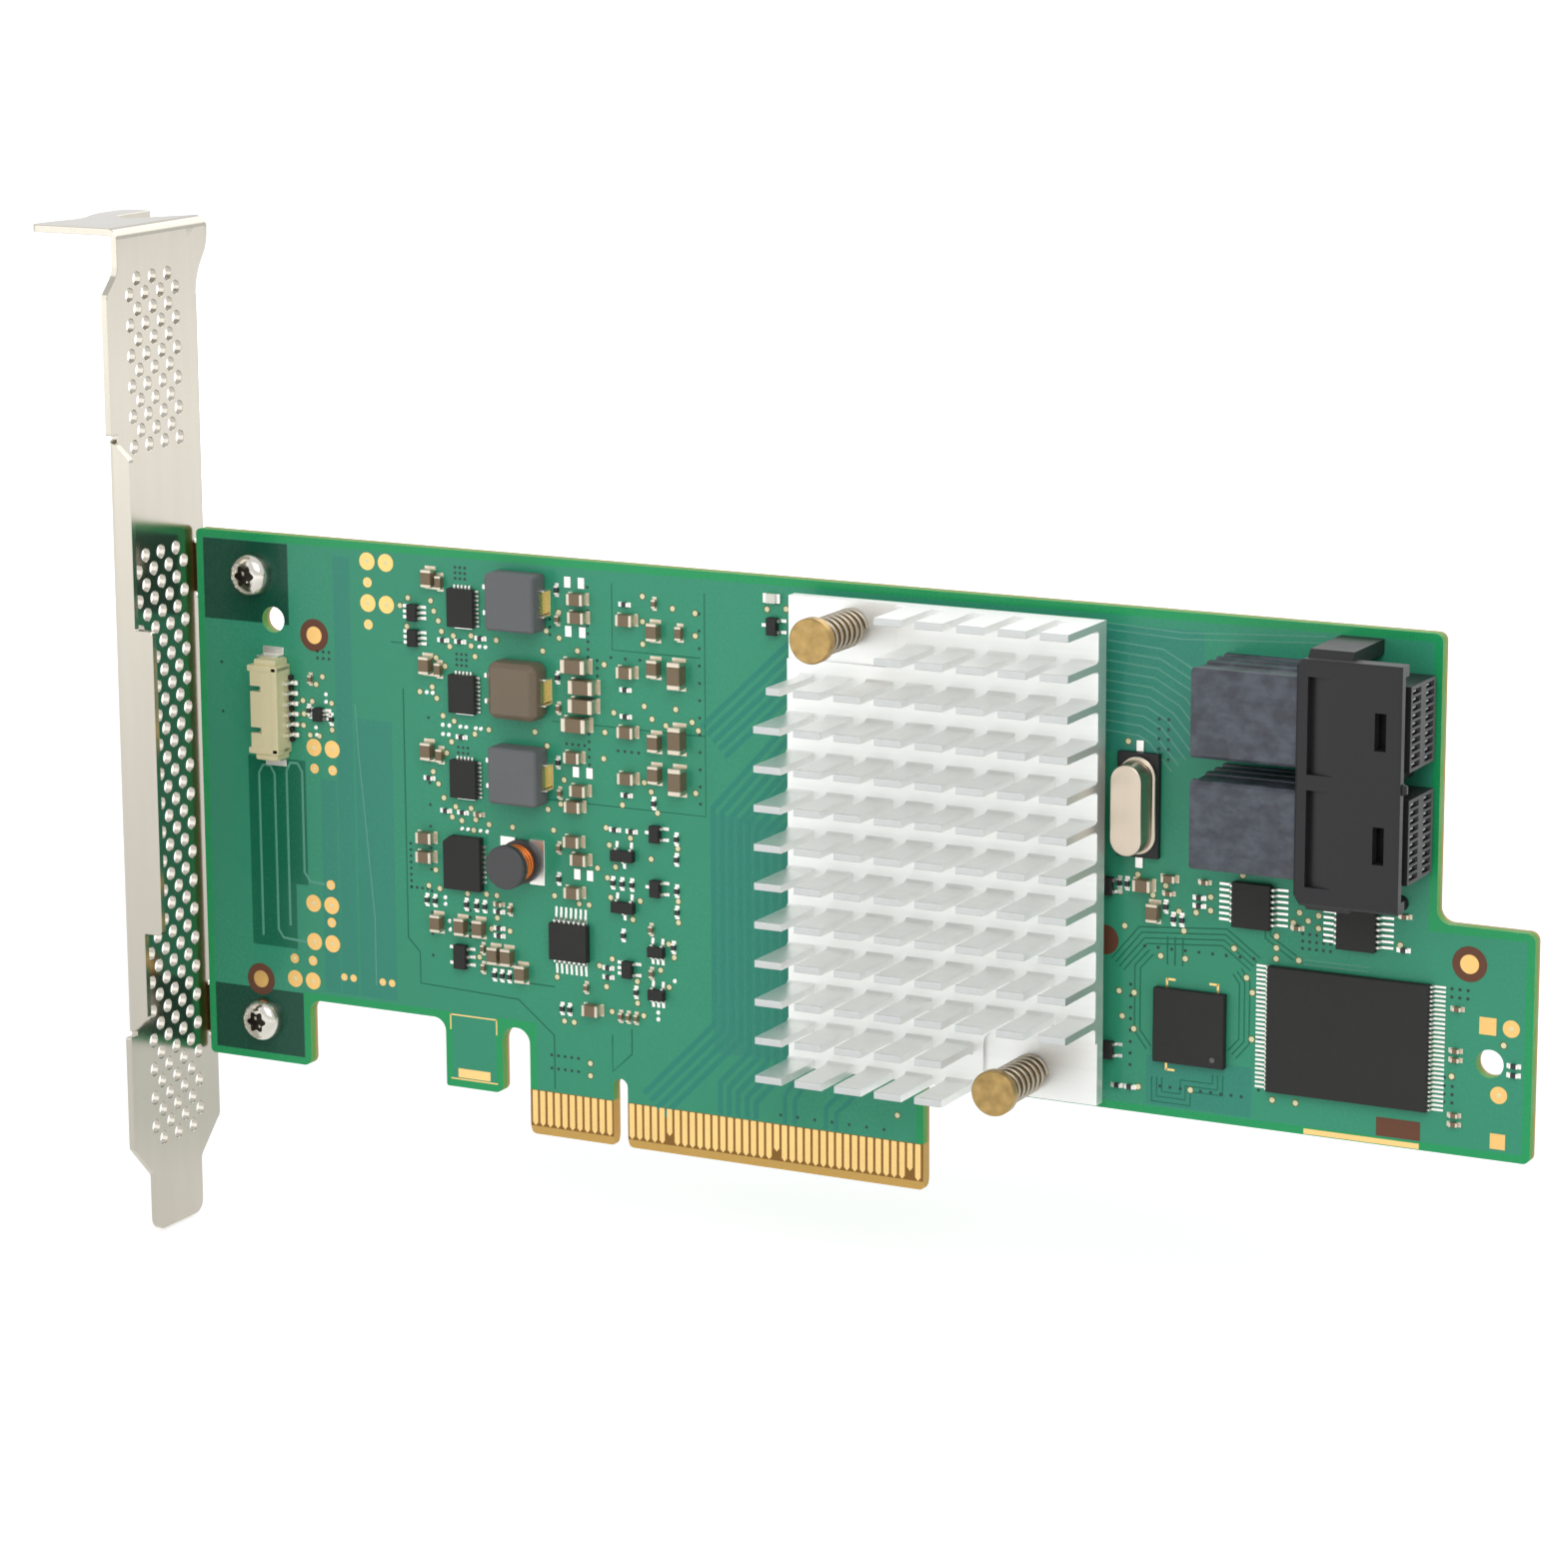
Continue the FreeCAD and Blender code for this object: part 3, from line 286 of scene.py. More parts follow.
def surface(name, rgb, low, high, metallic=0.0, fine=4000.0, broad=150.0, contrast=0.12, bump=0.01,
            specular=0.5, coat=0.0):
    """A finish whose colour and gloss wander a little over the surface, with a fine grain."""
    name = "finish_" + name
    if name in bpy.data.materials:
        return bpy.data.materials[name]
    material, tree, shader, where = new_material(name)
    grain = place_group(tree, grain_group(), where, Fine=fine, Broad=broad, Low=low, High=high).outputs
    tint = mix_colour(tree, grain["Cloud"], shaded(rgb, 1 - contrast), shaded(rgb, 1 + contrast))
    feed(tree, shader, {"Base Color": tint, "Roughness": grain["Value"], "Metallic": metallic,
                        "Specular IOR Level": specular, "Coat Weight": coat, "Coat Roughness": 0.08})
    add_bump(tree, shader, grain["Height"], bump)
    return material


def brushed(name, rgb, low, high, stretch, contrast=0.1, bump=0.01, metallic=1.0):
    """A metal with the fine lines of rolling or milling along one axis."""
    name = "finish_" + name
    if name in bpy.data.materials:
        return bpy.data.materials[name]
    material, tree, shader, where = new_material(name)
    grain = place_group(tree, grain_group(), where, Fine=2500.0, Broad=60.0, Low=low, High=high)
    lines = place_group(tree, brush_group(), where, Stretch=stretch).outputs["Lines"]
    tint = mix_colour(tree, lines, shaded(rgb, 1 - contrast), shaded(rgb, 1 + contrast))
    feed(tree, shader, {"Base Color": tint, "Roughness": grain.outputs["Value"], "Metallic": metallic})
    add_bump(tree, shader, lines, bump)
    return material


# ================================================================ mesh helpers
MERGE = 1e-6                    # in metres: vertices nearer than this become one
SHARP = 0.6                     # edges with a wider angle than this, in radians, are sharp


def bevel_edges(bm, edges, width, segments=2):
    """Round edges off by a width in metres."""
    bmesh.ops.bevel(bm, geom=edges, offset=width, offset_type="OFFSET", segments=segments, profile=0.5,
                    affect="EDGES", clamp_overlap=True, material=-1)


def sharp_edges(bm):
    """The sharp edges between two faces."""
    return [e for e in bm.edges if len(e.link_faces) == 2 and e.calc_face_angle(0) > SHARP]


def spread(number, pitch):
    """Shifts of a number of things about their middle, a pitch apart."""
    return [(i - (number - 1) / 2) * pitch for i in range(number)]


def add_block(bm, x, z, wide, high, low, top, edge=0.0, segments=1):
    """A block on the component face, centred on (x, z), between two rises; all in millimetres."""
    centre = Matrix.Translation(Vector((x, -(low + top) / 2, z)) * MM)
    shape = Matrix.Diagonal((wide * MM, (top - low) * MM, high * MM, 1.0))
    made = bmesh.ops.create_cube(bm, size=1.0, matrix=centre @ shape)
    if edge > 0:
        edges = list({e for v in made["verts"] for e in v.link_edges})
        bevel_edges(bm, edges, edge * MM, segments)


def add_disc(bm, x, z, dia, low, top, sides=20, taper=1.0):
    """A round pad or peg that stands on the component face."""
    turn = Matrix.Rotation(math.pi / 2, 4, "X")
    place = Matrix.Translation(Vector((x, -(low + top) / 2, z)) * MM)
    bmesh.ops.create_cone(bm, cap_ends=True, cap_tris=False, segments=sides, radius1=dia / 2 * MM,
                          radius2=dia / 2 * taper * MM, depth=(top - low) * MM, matrix=place @ turn)


def add_turned(bm, x, z, outline, sides=32):
    """Spin a list of (radius, rise) points about the axis that stands on the board at (x, z)."""
    part = bmesh.new()
    points = [part.verts.new(Vector((x + r, -h, z)) * MM) for r, h in outline]
    edges = [part.edges.new(pair) for pair in zip(points, points[1:])]
    bmesh.ops.spin(part, geom=points + edges, cent=Vector((x, 0, z)) * MM, axis=(0, 1, 0),
                   angle=2 * math.pi, steps=sides, use_merge=True, use_duplicate=False)
    bmesh.ops.remove_doubles(part, verts=part.verts[:], dist=MERGE)
    join(bm, part)


def add_outline(bm, corners, across, place, segments=6):
    """A flat face with (u, v, radius) corners at a place on an axis; returns the axis of thickness.

    across is that axis: "Y" takes (X, Z) corners, "X" takes (Y, Z) and "Z" takes (X, Y).
    """
    first, second, third = {"Y": (0, 2, 1), "X": (1, 2, 0), "Z": (0, 1, 2)}[across]
    verts = []
    for u, v, _ in corners:
        spot = Vector((0, 0, 0))
        spot[first], spot[second], spot[third] = u, v, place
        verts.append(bm.verts.new(spot * MM))
    bm.faces.new(verts)
    for vert, (_, _, radius) in zip(verts, corners):
        if radius > 0:
            bmesh.ops.bevel(bm, geom=[vert], offset=radius * MM, offset_type="OFFSET", segments=segments,
                            profile=0.5, affect="VERTICES", clamp_overlap=True, material=-1)
    return third


def push_out(bm, faces, axis, distance):
    """Turn flat faces into a solid by pushing a copy of them along an axis."""
    made = bmesh.ops.extrude_face_region(bm, geom=faces, use_keep_orig=True)
    shift = Vector((0, 0, 0))
    shift[axis] = distance * MM
    verts = [g for g in made["geom"] if isinstance(g, bmesh.types.BMVert)]
    bmesh.ops.translate(bm, verts=verts, vec=shift)


def add_prism(bm, corners, across, low, high, segments=6):
    """A solid with a rounded outline; see add_outline."""
    part = bmesh.new()
    axis = add_outline(part, corners, across, low, segments)
    push_out(part, part.faces[:], axis, high - low)
    bmesh.ops.recalc_face_normals(part, faces=part.faces[:])
    join(bm, part)


def join(bm, part):
    """Add one bmesh to another, and free it."""
    mesh = bpy.data.meshes.new("part")
    part.to_mesh(mesh)
    bm.from_mesh(mesh)
    part.free()
    bpy.data.meshes.remove(mesh)


def read_node(name):
    """A CAD node's mesh, with its loose triangles merged."""
    bm = bmesh.new()
    bm.from_mesh(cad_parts[name].data)
    bmesh.ops.remove_doubles(bm, verts=bm.verts[:], dist=MERGE)
    return bm


def copy_node(name):
    """A CAD node's mesh, merged and with its flat faces made whole."""
    bm = read_node(name)
    bmesh.ops.dissolve_limit(bm, angle_limit=0.01, verts=bm.verts[:], edges=bm.edges[:])
    return bm


def new_object(name, data):
    """An object in the scene."""
    made = bpy.data.objects.new(name, data)
    bpy.context.scene.collection.objects.link(made)
    return made


def make_piece(name, bm, material, replaces=(), smooth=SHARP, recalc=True):
    """Store a mesh as a finished piece that rides on the card."""
    if recalc:
        bmesh.ops.recalc_face_normals(bm, faces=bm.faces[:])
    mesh = bpy.data.meshes.new(name)
    bm.to_mesh(mesh)
    bm.free()
    piece = new_object(name, mesh)
    for each in material if isinstance(material, list) else [material]:
        mesh.materials.append(each)
    mesh.shade_smooth()
    mesh.set_sharp_from_angle(angle=smooth)
    weights = piece.modifiers.new("even_shading", "WEIGHTED_NORMAL")
    weights.keep_sharp = True
    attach(piece, "root")
    if replaces:
        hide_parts(*replaces)


def dress(name, material, edge, segments=2):
    """Replace a CAD node by a copy of it with rounded edges."""
    bm = copy_node(name)
    if edge > 0:
        bevel_edges(bm, sharp_edges(bm), edge * MM, segments)
    make_piece(name + "_finished", bm, material, [name], recalc=False)


def dress_all(material, edges, segments=2):
    """Dress several nodes alike, each with its own rounding."""
    for name, edge in edges.items():
        dress(name, material, edge, segments)


class Solid:
    """Where one solid of a CAD node lies, in millimetres: its middle, its size and its rises."""

    def __init__(self, points):
        low = [min(point[axis] for point in points) / MM for axis in range(3)]
        high = [max(point[axis] for point in points) / MM for axis in range(3)]
        self.x, self.z = (low[0] + high[0]) / 2, (low[2] + high[2]) / 2
        self.wide, self.high = high[0] - low[0], high[2] - low[2]
        self.low, self.top = -high[1], -low[1]


def solids_of(name):
    """The separate solids of a CAD node."""
    bm = read_node(name)
    left = set(bm.verts)
    found = []
    while left:
        group = {left.pop()}
        edge = set(group)
        while edge:
            edge = {e.other_vert(v) for v in edge for e in v.link_edges} & left
            group |= edge
            left -= edge
        found.append(Solid([v.co for v in group]))
    bm.free()
    return sorted(found, key=lambda solid: (round(solid.x, 2), round(solid.z, 2)))


# ================================================================ finishes of this card
def gold():
    """Plating of the contacts and pads."""
    return surface("plated_gold", paint().gold, 0.22, 0.38, metallic=1.0,
                   contrast=0.08, bump=0.004)


def tin():
    """Solder and tinned metal."""
    return surface("tinned_metal", paint().tin, 0.25, 0.45, metallic=1.0,
                   contrast=0.12, bump=0.006)


def cream_solder():
    """Solder on the test points and in the middle of the round pads."""
    return surface("solder_cream", paint().test_dot, 0.35, 0.5, bump=0.004)


def mask_plain():
    """Solder mask of the controller's own small board."""
    return surface("mask_plain", paint().mask, 0.3, 0.42, coat=0.3, bump=0.004)


def epoxy():
    """Moulding of the chips."""
    return surface("chip_epoxy", paint().epoxy, 0.5, 0.7, fine=9000.0,
                   contrast=0.1, bump=0.012, specular=0.25)


def port_plastic():
    """Moulding of the ports."""
    return surface("port_plastic", paint().port, 0.34, 0.5, fine=7000.0,
                   contrast=0.1, bump=0.01, specular=0.35)


def steel():
    """Plated and rolled sheet of the bracket."""
    return brushed("bracket_steel", paint().steel, 0.13, 0.22,
                   (700.0, 700.0, 50.0), contrast=0.04, bump=0.002)


# parts of the board's faces as (x0, x1, z0, z1). The copper below the mask stops short of the rim, and
# the tongue is bare laminate; teal and deep fields lie on the component side only.
COPPER = [(-56.25, 98.6, 13.6, 68.0), (90.0, 109.6, 13.6, 36.9), (-56.25, -43.6, 5.4, 14.0),
          (-22.75, -16.8, 5.45, 14.0), (-11.25, 38.25, -1.0, 14.0)]
TONGUE = [(-15.0, 40.0, -6.0, 5.5)]
DARK_FIELDS = [(-56.2, -44.3, 58.2, 67.9), (-56.3, -43.2, 5.4, 13.4)]
TEAL_FIELDS = [(-38.0, -35.7, 14.0, 67.0), (-40.4, -38.2, 14.0, 40.0), (-35.4, -30.3, 14.0, 47.8),
               (12.4, 24.4, 13.0, 41.0), (66.3, 78.8, 13.8, 19.4), (60.0, 72.6, 53.0, 67.0)]
DEEP_FIELDS = [(-50.6, -42.5, 26.8, 42.0), (-50.6, -44.2, 18.8, 27.0)]
FRONT_HALF = 0.8                # how deep into the board the component side counts


def any_field(tree, where, boxes):
    """1 inside any of the boxes."""
    mask = None
    for x0, x1, z0, z1 in boxes:
        field = place_group(tree, field_group(), where,
                            Centre=Vector(((x0 + x1) / 2, 0, (z0 + z1) / 2)) * MM,
                            Half=Vector(((x1 - x0) / 2, 1, (z1 - z0) / 2)) * MM).outputs["Mask"]
        mask = field if mask is None else maths(tree, "MAXIMUM", mask, field)
    return mask


def depth(tree, where):
    """How far a point lies behind the component face."""
    return add_node(tree, "SeparateXYZ", {0: where}).outputs["Y"]


def mask_material():
    """Green solder mask with its fields, the brighter copper-free rim and the bare tongue."""
    material, tree, shader, where = new_material("finish_solder_mask")
    grain = place_group(tree, grain_group(), where, Fine=2200.0, Broad=40.0, Low=0.2, High=0.32).outputs
    tint = mix_colour(tree, grain["Cloud"], shaded(paint().mask, 0.93), shaded(paint().mask, 1.07))
    front = maths(tree, "LESS_THAN", depth(tree, where), FRONT_HALF * MM)
    teal = maths(tree, "MULTIPLY", any_field(tree, where, TEAL_FIELDS), maths(tree, "MULTIPLY", front, 0.8))
    tint = mix_colour(tree, teal, tint, paint().mask_dark)
    deep = maths(tree, "MULTIPLY", any_field(tree, where, DEEP_FIELDS), front)
    tint = mix_colour(tree, deep, tint, tone(24, 116, 86))
    tint = mix_colour(tree, any_field(tree, where, DARK_FIELDS), tint, tone(16, 82, 62))
    tint = mix_colour(tree, any_field(tree, where, COPPER), paint().mask_rim, tint)
    tint = mix_colour(tree, any_field(tree, where, TONGUE), tint, tone(150, 106, 42))
    feed(tree, shader, {"Base Color": tint, "Roughness": grain["Value"], "Specular IOR Level": 0.22,
                        "Coat Weight": 0.12, "Coat Roughness": 0.05})
    add_bump(tree, shader, grain["Height"], 0.003)
    return material


def laminate_material():
    """Cut edge of the board: mask runs over its front corner and the laminate shows behind."""
    material, tree, shader, where = new_material("finish_laminate_edge")
    grain = place_group(tree, grain_group(), where, Fine=3500.0, Broad=700.0, Low=0.45, High=0.7).outputs
    wander = maths(tree, "MULTIPLY", grain["Cloud"], 0.5 * MM)
    behind = map_range(tree, maths(tree, "ADD", depth(tree, where), wander), 1.15 * MM, 1.5 * MM)
    tint = mix_colour(tree, behind, tone(100, 170, 74), paint().laminate)
    tint = mix_colour(tree, any_field(tree, where, TONGUE), tint, tone(222, 176, 90))
    feed(tree, shader, {"Base Color": tint, "Roughness": grain["Value"]})
    add_bump(tree, shader, grain["Height"], 0.02)
    return material


# ================================================================ board
PAD_RISE, LINE_RISE = 0.03, 0.02                # how far bare pads and thin lines stand out


EDGE_TILT = 0.97                # a face whose normal has less Y than this belongs to a cut edge


def build_board():
    """Board with its mask on both faces, and its cut edges."""
    bm = copy_node("circuit_board")
    for face in bm.faces:
        if abs(face.normal.y) < EDGE_TILT:
            face.material_index = 1
    make_piece("circuit_board_finished", bm, [mask_material(), laminate_material()],
               ["circuit_board"], recalc=False)


THIN = 0.3                      # narrower dark traces have a finish of their own
# bundles of traces: corners of the middle line, number, pitch and width
DARK_TRACES = [
    ([(26.0, 54.0), (14.2, 41.0), (14.2, 15.6), (4.4, 5.7)], 4, 1.15, 0.75),
    ([(26.0, 46.5), (19.3, 39.5), (19.3, 12.6), (15.5, 8.6), (15.5, 5.7)], 5, 1.15, 0.75),
    ([(26.0, 62.0), (12.6, 49.4)], 5, 1.1, 0.7),
    ([(23.4, 10.6), (22.2, 8.8), (22.2, 5.7)], 2, 1.3, 0.6),
    ([(30.0, 10.4), (27.5, 8.0), (27.5, 5.7)], 2, 1.3, 0.6),
    ([(-14.3, 18.3), (-8.6, 18.3)], 1, 1.0, 0.2),
    ([(-28.6, 52.0), (-28.6, 22.0), (-27.0, 20.4), (-27.0, 16.6), (-13.6, 16.2), (-8.8, 12.4), (-8.8, 5.9)],
     1, 1.0, 0.2),
    ([(-8.5, 49.9), (11.6, 49.9)], 1, 1.0, 0.16),
    ([(11.6, 66.4), (11.6, 40.6), (-9.4, 40.6)], 1, 1.0, 0.16),
    ([(-0.4, 66.6), (-0.4, 58.9), (11.0, 58.9)], 1, 1.0, 0.16),
    ([(-30.2, 57.4), (-25.0, 57.4)], 1, 1.0, 0.16),
    ([(-1.0, 13.4), (-1.0, 9.0), (1.6, 11.4), (1.6, 14.4)], 1, 1.0, 0.2),
    ([(62.8, 29.2), (65.8, 32.8), (75.4, 33.6), (79.0, 31.0)], 4, 0.62, 0.2),
    ([(67.6, 17.0), (67.6, 14.8), (71.0, 14.8), (71.0, 16.4), (74.8, 16.4), (74.8, 18.0)], 3, 0.6, 0.2),
    ([(76.4, 20.6), (77.8, 22.2), (77.8, 28.8), (76.9, 30.0)], 3, 0.6, 0.2),
    ([(66.8, 31.0), (65.2, 29.2), (65.2, 22.0), (66.6, 20.2)], 2, 0.65, 0.2),
    ([(69.6, 33.0), (69.6, 29.8)], 3, 0.9, 0.2), ([(80.4, 38.8), (80.4, 34.2), (83.6, 32.2)], 2, 0.6, 0.2),
]
FINE_TRACES = [
    ([(-49.1, 20.0), (-49.1, 40.0), (-48.5, 41.0), (-47.5, 41.0), (-46.9, 40.0), (-46.9, 21.0), (-46.2, 20.0),
      (-43.0, 19.8)], 1, 1.0, 0.32),
    ([(-45.2, 21.6), (-45.2, 40.6), (-44.6, 41.6), (-43.6, 41.6), (-43.0, 40.6), (-43.0, 28.4), (-42.2, 27.3),
      (-40.2, 27.2)], 1, 1.0, 0.32),
    ([(-35.3, 49.4), (-35.0, 44.0), (-33.2, 24.0), (-33.2, 15.6)], 1, 1.0, 0.2),
    ([(60.9, 60.2), (66.4, 59.8), (69.4, 58.2), (72.6, 54.6)], 10, 1.1, 0.24),
    ([(60.9, 66.7), (70.0, 66.3), (86.5, 67.2)], 2, 0.7, 0.18),
    ([(84.6, 31.9), (92.0, 31.9)], 2, 0.5, 0.15),
]


def shifted(corners, distance):
    """A path of (x, z) corners moved sideways, its corners mitred."""
    points = [Vector(corner) for corner in corners]
    runs = [(b - a).normalized() for a, b in zip(points, points[1:])]
    moved = []
    for point, last, following in zip(points, runs[:1] + runs, runs + runs[-1:]):
        aside = Vector((-last.y - following.y, last.x + following.x)).normalized()
        reach = distance / max(0.5, aside.dot(Vector((-last.y, last.x))))
        moved.append(point + aside * reach)
    return moved


def add_traces(bm, bundles, rise):
    """Rounded conductors, flattened until they stand only a few hundredths out of the board."""
    for corners, number, pitch, width in bundles:
        curve = bpy.data.curves.new("trace", "CURVE")
        curve.dimensions = "3D"
        curve.bevel_depth = width / 2 * MM
        curve.bevel_resolution = 1
        for shift in spread(number, pitch):
            path = shifted(corners, shift)
            spline = curve.splines.new("POLY")
            spline.points.add(len(path) - 1)
            for point, spot in zip(spline.points, path):
                point.co = (spot.x * MM, 0.0, spot.y * MM, 1.0)
        holder = bpy.data.objects.new("trace", curve)
        mesh = bpy.data.meshes.new_from_object(holder)
        part = bmesh.new()
        part.from_mesh(mesh)
        for vert in part.verts:
            vert.co.y *= rise / (width / 2)
        join(bm, part)
        bpy.data.objects.remove(holder)
        bpy.data.curves.remove(curve)
        bpy.data.meshes.remove(mesh)


# grids of plated holes under the mask: first x and z, step, number along x and along z
VIA_GRIDS = [
    (-21.2, 65.6, 0.65, 3, 3), (-21.2, 55.4, 0.65, 3, 3), (-21.2, 45.0, 0.65, 3, 2),
    (-20.0, 23.0, 0.8, 2, 5), (-3.6, 45.2, 0.9, 1, 24), (-8.6, 60.0, 0.9, 1, 5), (-6.6, 47.4, 0.8, 4, 1),
    (-2.4, 53.0, 0.9, 1, 6), (0.2, 47.2, 0.9, 4, 1), (-25.2, 20.2, 2.6, 1, 12), (10.9, 42.0, 2.0, 1, 12),
    (-0.6, 58.0, 1.9, 6, 1), (-28.0, 28.2, 0.75, 1, 8), (-28.0, 28.2, 0.75, 4, 1), (-9.2, 10.0, 0.9, 5, 1),
    (-9.2, 8.4, 0.9, 5, 1), (21.0, 6.6, 2.2, 7, 1), (64.4, 18.0, 1.3, 1, 8), (79.6, 17.0, 1.4, 1, 10),
    (68.0, 16.0, 1.2, 9, 1), (101.4, 30.0, 0.9, 3, 2), (100.8, 18.4, 0.9, 2, 4), (-40.4, 54.6, 0.8, 3, 2),
    (66.0, 31.6, 1.6, 9, 1), (82.0, 29.8, 1.2, 7, 1), (-54.0, 47.0, 6.0, 2, 2), (84.4, 33.4, 0.8, 5, 3),
    (67.4, 52.6, 1.1, 2, 5),
]
# soldered test points, (x, z), each in a narrow dark ring
TEST_DOTS = [
    (-24.2, 65.8), (-27.7, 62.8), (-24.6, 62.7), (-28.8, 61.8), (-24.2, 61.5), (-23.6, 60.4), (-27.9, 59.4),
    (-23.2, 59.2), (-21.6, 58.8), (-19.2, 59.0), (-15.8, 58.75), (-22.1, 57.5), (-19.2, 57.8),
    (-18.7, 56.6), (-9.6, 58.0), (-9.1, 60.4), (-24.0, 56.0), (-22.8, 55.1), (-24.6, 52.5), (-26.3, 51.8),
    (-24.0, 51.2), (-23.2, 49.2), (-21.7, 48.7), (-17.0, 48.1), (-18.9, 47.4), (-22.1, 46.2), (-10.8, 48.4),
    (-9.2, 46.9), (-22.8, 44.8), (-24.7, 42.4), (-24.0, 41.0), (-23.3, 39.4), (-21.7, 38.5), (-19.6, 38.5),
    (-9.2, 39.4), (-22.2, 37.2), (-19.0, 37.2), (-20.9, 36.9), (-17.2, 36.8), (-14.0, 36.8), (-8.5, 37.0),
    (-8.5, 29.2), (-19.3, 35.9), (-24.6, 30.6), (-25.6, 28.6), (-24.1, 28.4), (-20.3, 28.2), (-17.7, 28.4),
    (-16.3, 28.4), (-16.3, 25.7), (-14.6, 24.3), (-17.1, 24.3), (-18.8, 20.7), (-8.3, 19.5), (3.6, 65.4),
    (7.5, 64.3), (10.4, 64.0), (3.6, 62.5), (10.4, 61.4), (3.6, 59.9), (-1.5, 57.1), (-5.0, 58.4),
    (-7.4, 62.7), (-7.4, 59.7), (-0.3, 51.6), (3.7, 52.7), (7.8, 52.7), (4.7, 51.3), (9.9, 51.4),
    (6.5, 50.7), (10.7, 50.5), (-1.5, 49.2), (-1.7, 46.1), (-7.0, 43.1), (3.6, 43.8), (4.5, 42.8),
    (10.3, 43.2), (0.7, 40.9), (5.3, 40.4), (-7.5, 40.2), (-1.5, 38.0), (1.7, 37.1), (-1.1, 36.0),
    (-0.3, 33.5), (4.4, 34.9), (7.9, 36.5), (-2.7, 33.1), (-1.4, 32.1), (-1.0, 29.8), (2.9, 29.8),
    (7.9, 30.3), (-5.2, 28.6), (-3.9, 28.6), (1.9, 27.5), (7.9, 27.8), (6.6, 25.1), (7.3, 23.6),
    (5.5, 21.9), (-0.9, 22.5), (-2.6, 21.5), (-1.7, 19.1), (2.4, 20.2), (2.4, 17.6), (6.6, 20.0),
    (-1.0, 16.2), (3.2, 16.2), (-7.4, 14.3), (-6.1, 14.3), (-4.0, 9.6), (-4.0, 8.1), (19.6, 65.2),
    (22.0, 65.4), (35.9, 8.5), (63.8, 54.2), (65.1, 39.5), (66.9, 37.4), (68.4, 38.6), (63.0, 37.4),
    (63.6, 33.6), (70.0, 35.9), (70.6, 33.8), (73.7, 37.9), (73.7, 36.4), (72.0, 36.0), (76.5, 32.5),
    (77.4, 40.7), (81.4, 34.4), (81.4, 33.1), (81.4, 31.9), (84.0, 32.0), (83.3, 36.1), (84.0, 37.3),
    (85.0, 36.5), (86.2, 37.2), (86.2, 35.8), (67.9, 30.7), (70.8, 30.7), (78.0, 29.4), (78.7, 27.8),
    (78.7, 22.6), (71.6, 16.0), (81.2, 16.1), (83.9, 16.1), (63.0, 26.2), (64.8, 26.2), (63.4, 23.4),
    (64.8, 22.1), (65.4, 15.6), (95.5, 35.0), (101.6, 21.3), (107.3, 25.4), (-39.8, 52.4), (-40.7, 51.4),
    (-42.6, 49.3), (-41.3, 49.3), (-38.6, 49.3), (-42.5, 47.7), (-42.6, 46.3), (-38.6, 46.1), (-41.7, 45.2),
    (-40.4, 45.2),
]
# round silver pads without a part, (x, z)
SILVER_DOTS = [
    (-18.1, 57.8), (-17.3, 57.8), (-25.4, 51.8), (-24.6, 51.8), (-23.3, 48.1), (-22.4, 48.1), (-20.9, 48.1),
    (-20.1, 48.1), (-18.8, 48.1), (-18.1, 48.1), (-23.3, 47.0), (-22.5, 47.0), (-23.4, 27.4), (-23.4, 26.6),
    (-22.9, 24.6), (-22.8, 23.6), (-20.9, 35.9), (-20.1, 35.9), (-18.4, 35.9), (-17.5, 35.9), (7.3, 20.8),
    (5.1, 16.8), (5.1, 16.0), (-39.4, 50.3), (-39.4, 49.4), (-40.9, 46.2), (-40.8, 45.3),
]


VIA_DIA, DOT_DIA, RING_DIA, SILVER_DIA = 0.38, 0.66, 0.86, 0.56


def build_traces():
    """Traces and plated holes under the mask, and the soldered test points."""
    wide = [bundle for bundle in DARK_TRACES if bundle[3] >= THIN]
    thin = [bundle for bundle in DARK_TRACES if bundle[3] < THIN]
    dark = surface("mask_dark", paint().mask_dark, 0.3, 0.42, bump=0.002, contrast=0.06, specular=0.2)
    line = surface("mask_line", tone(38, 118, 90), 0.3, 0.42, bump=0.002, specular=0.2)
    light = surface("mask_light", paint().trace_light, 0.25, 0.4, bump=0.002, specular=0.35)
    for name, bundles, rise, finish in (("dark_traces", wide, 0.012, dark),
                                        ("thin_traces", thin, 0.012, line),
                                        ("fine_traces", FINE_TRACES, 0.02, light)):
        bm = bmesh.new()
        add_traces(bm, bundles, rise)
        make_piece(name, bm, finish, smooth=1.2)
    vias, dots, rings, silver = bmesh.new(), bmesh.new(), bmesh.new(), bmesh.new()
    for x0, z0, step, columns, rows in VIA_GRIDS:
        for i in range(columns):
            for k in range(rows):
                add_disc(vias, x0 + i * step, z0 + k * step, VIA_DIA, 0.0, 0.02, 8)
    for x, z in TEST_DOTS:
        add_disc(rings, x, z, RING_DIA, 0.0, 0.014, 14)
        add_disc(dots, x, z, DOT_DIA, 0.0, 0.05, 14, 0.85)
    for x, z in SILVER_DOTS:
        add_disc(silver, x, z, SILVER_DIA, 0.0, 0.1, 12, 0.6)
    make_piece("vias", vias, surface("via_mask", paint().via, 0.3, 0.45, bump=0.002))
    make_piece("test_dots", dots, cream_solder())
    make_piece("test_rings", rings, surface("ring_gold", tone(92, 104, 50), 0.35, 0.5, bump=0.003))
    make_piece("silver_dots", silver, tin())


CONTACT_POINT = 0.4             # height of a contact's pointed foot


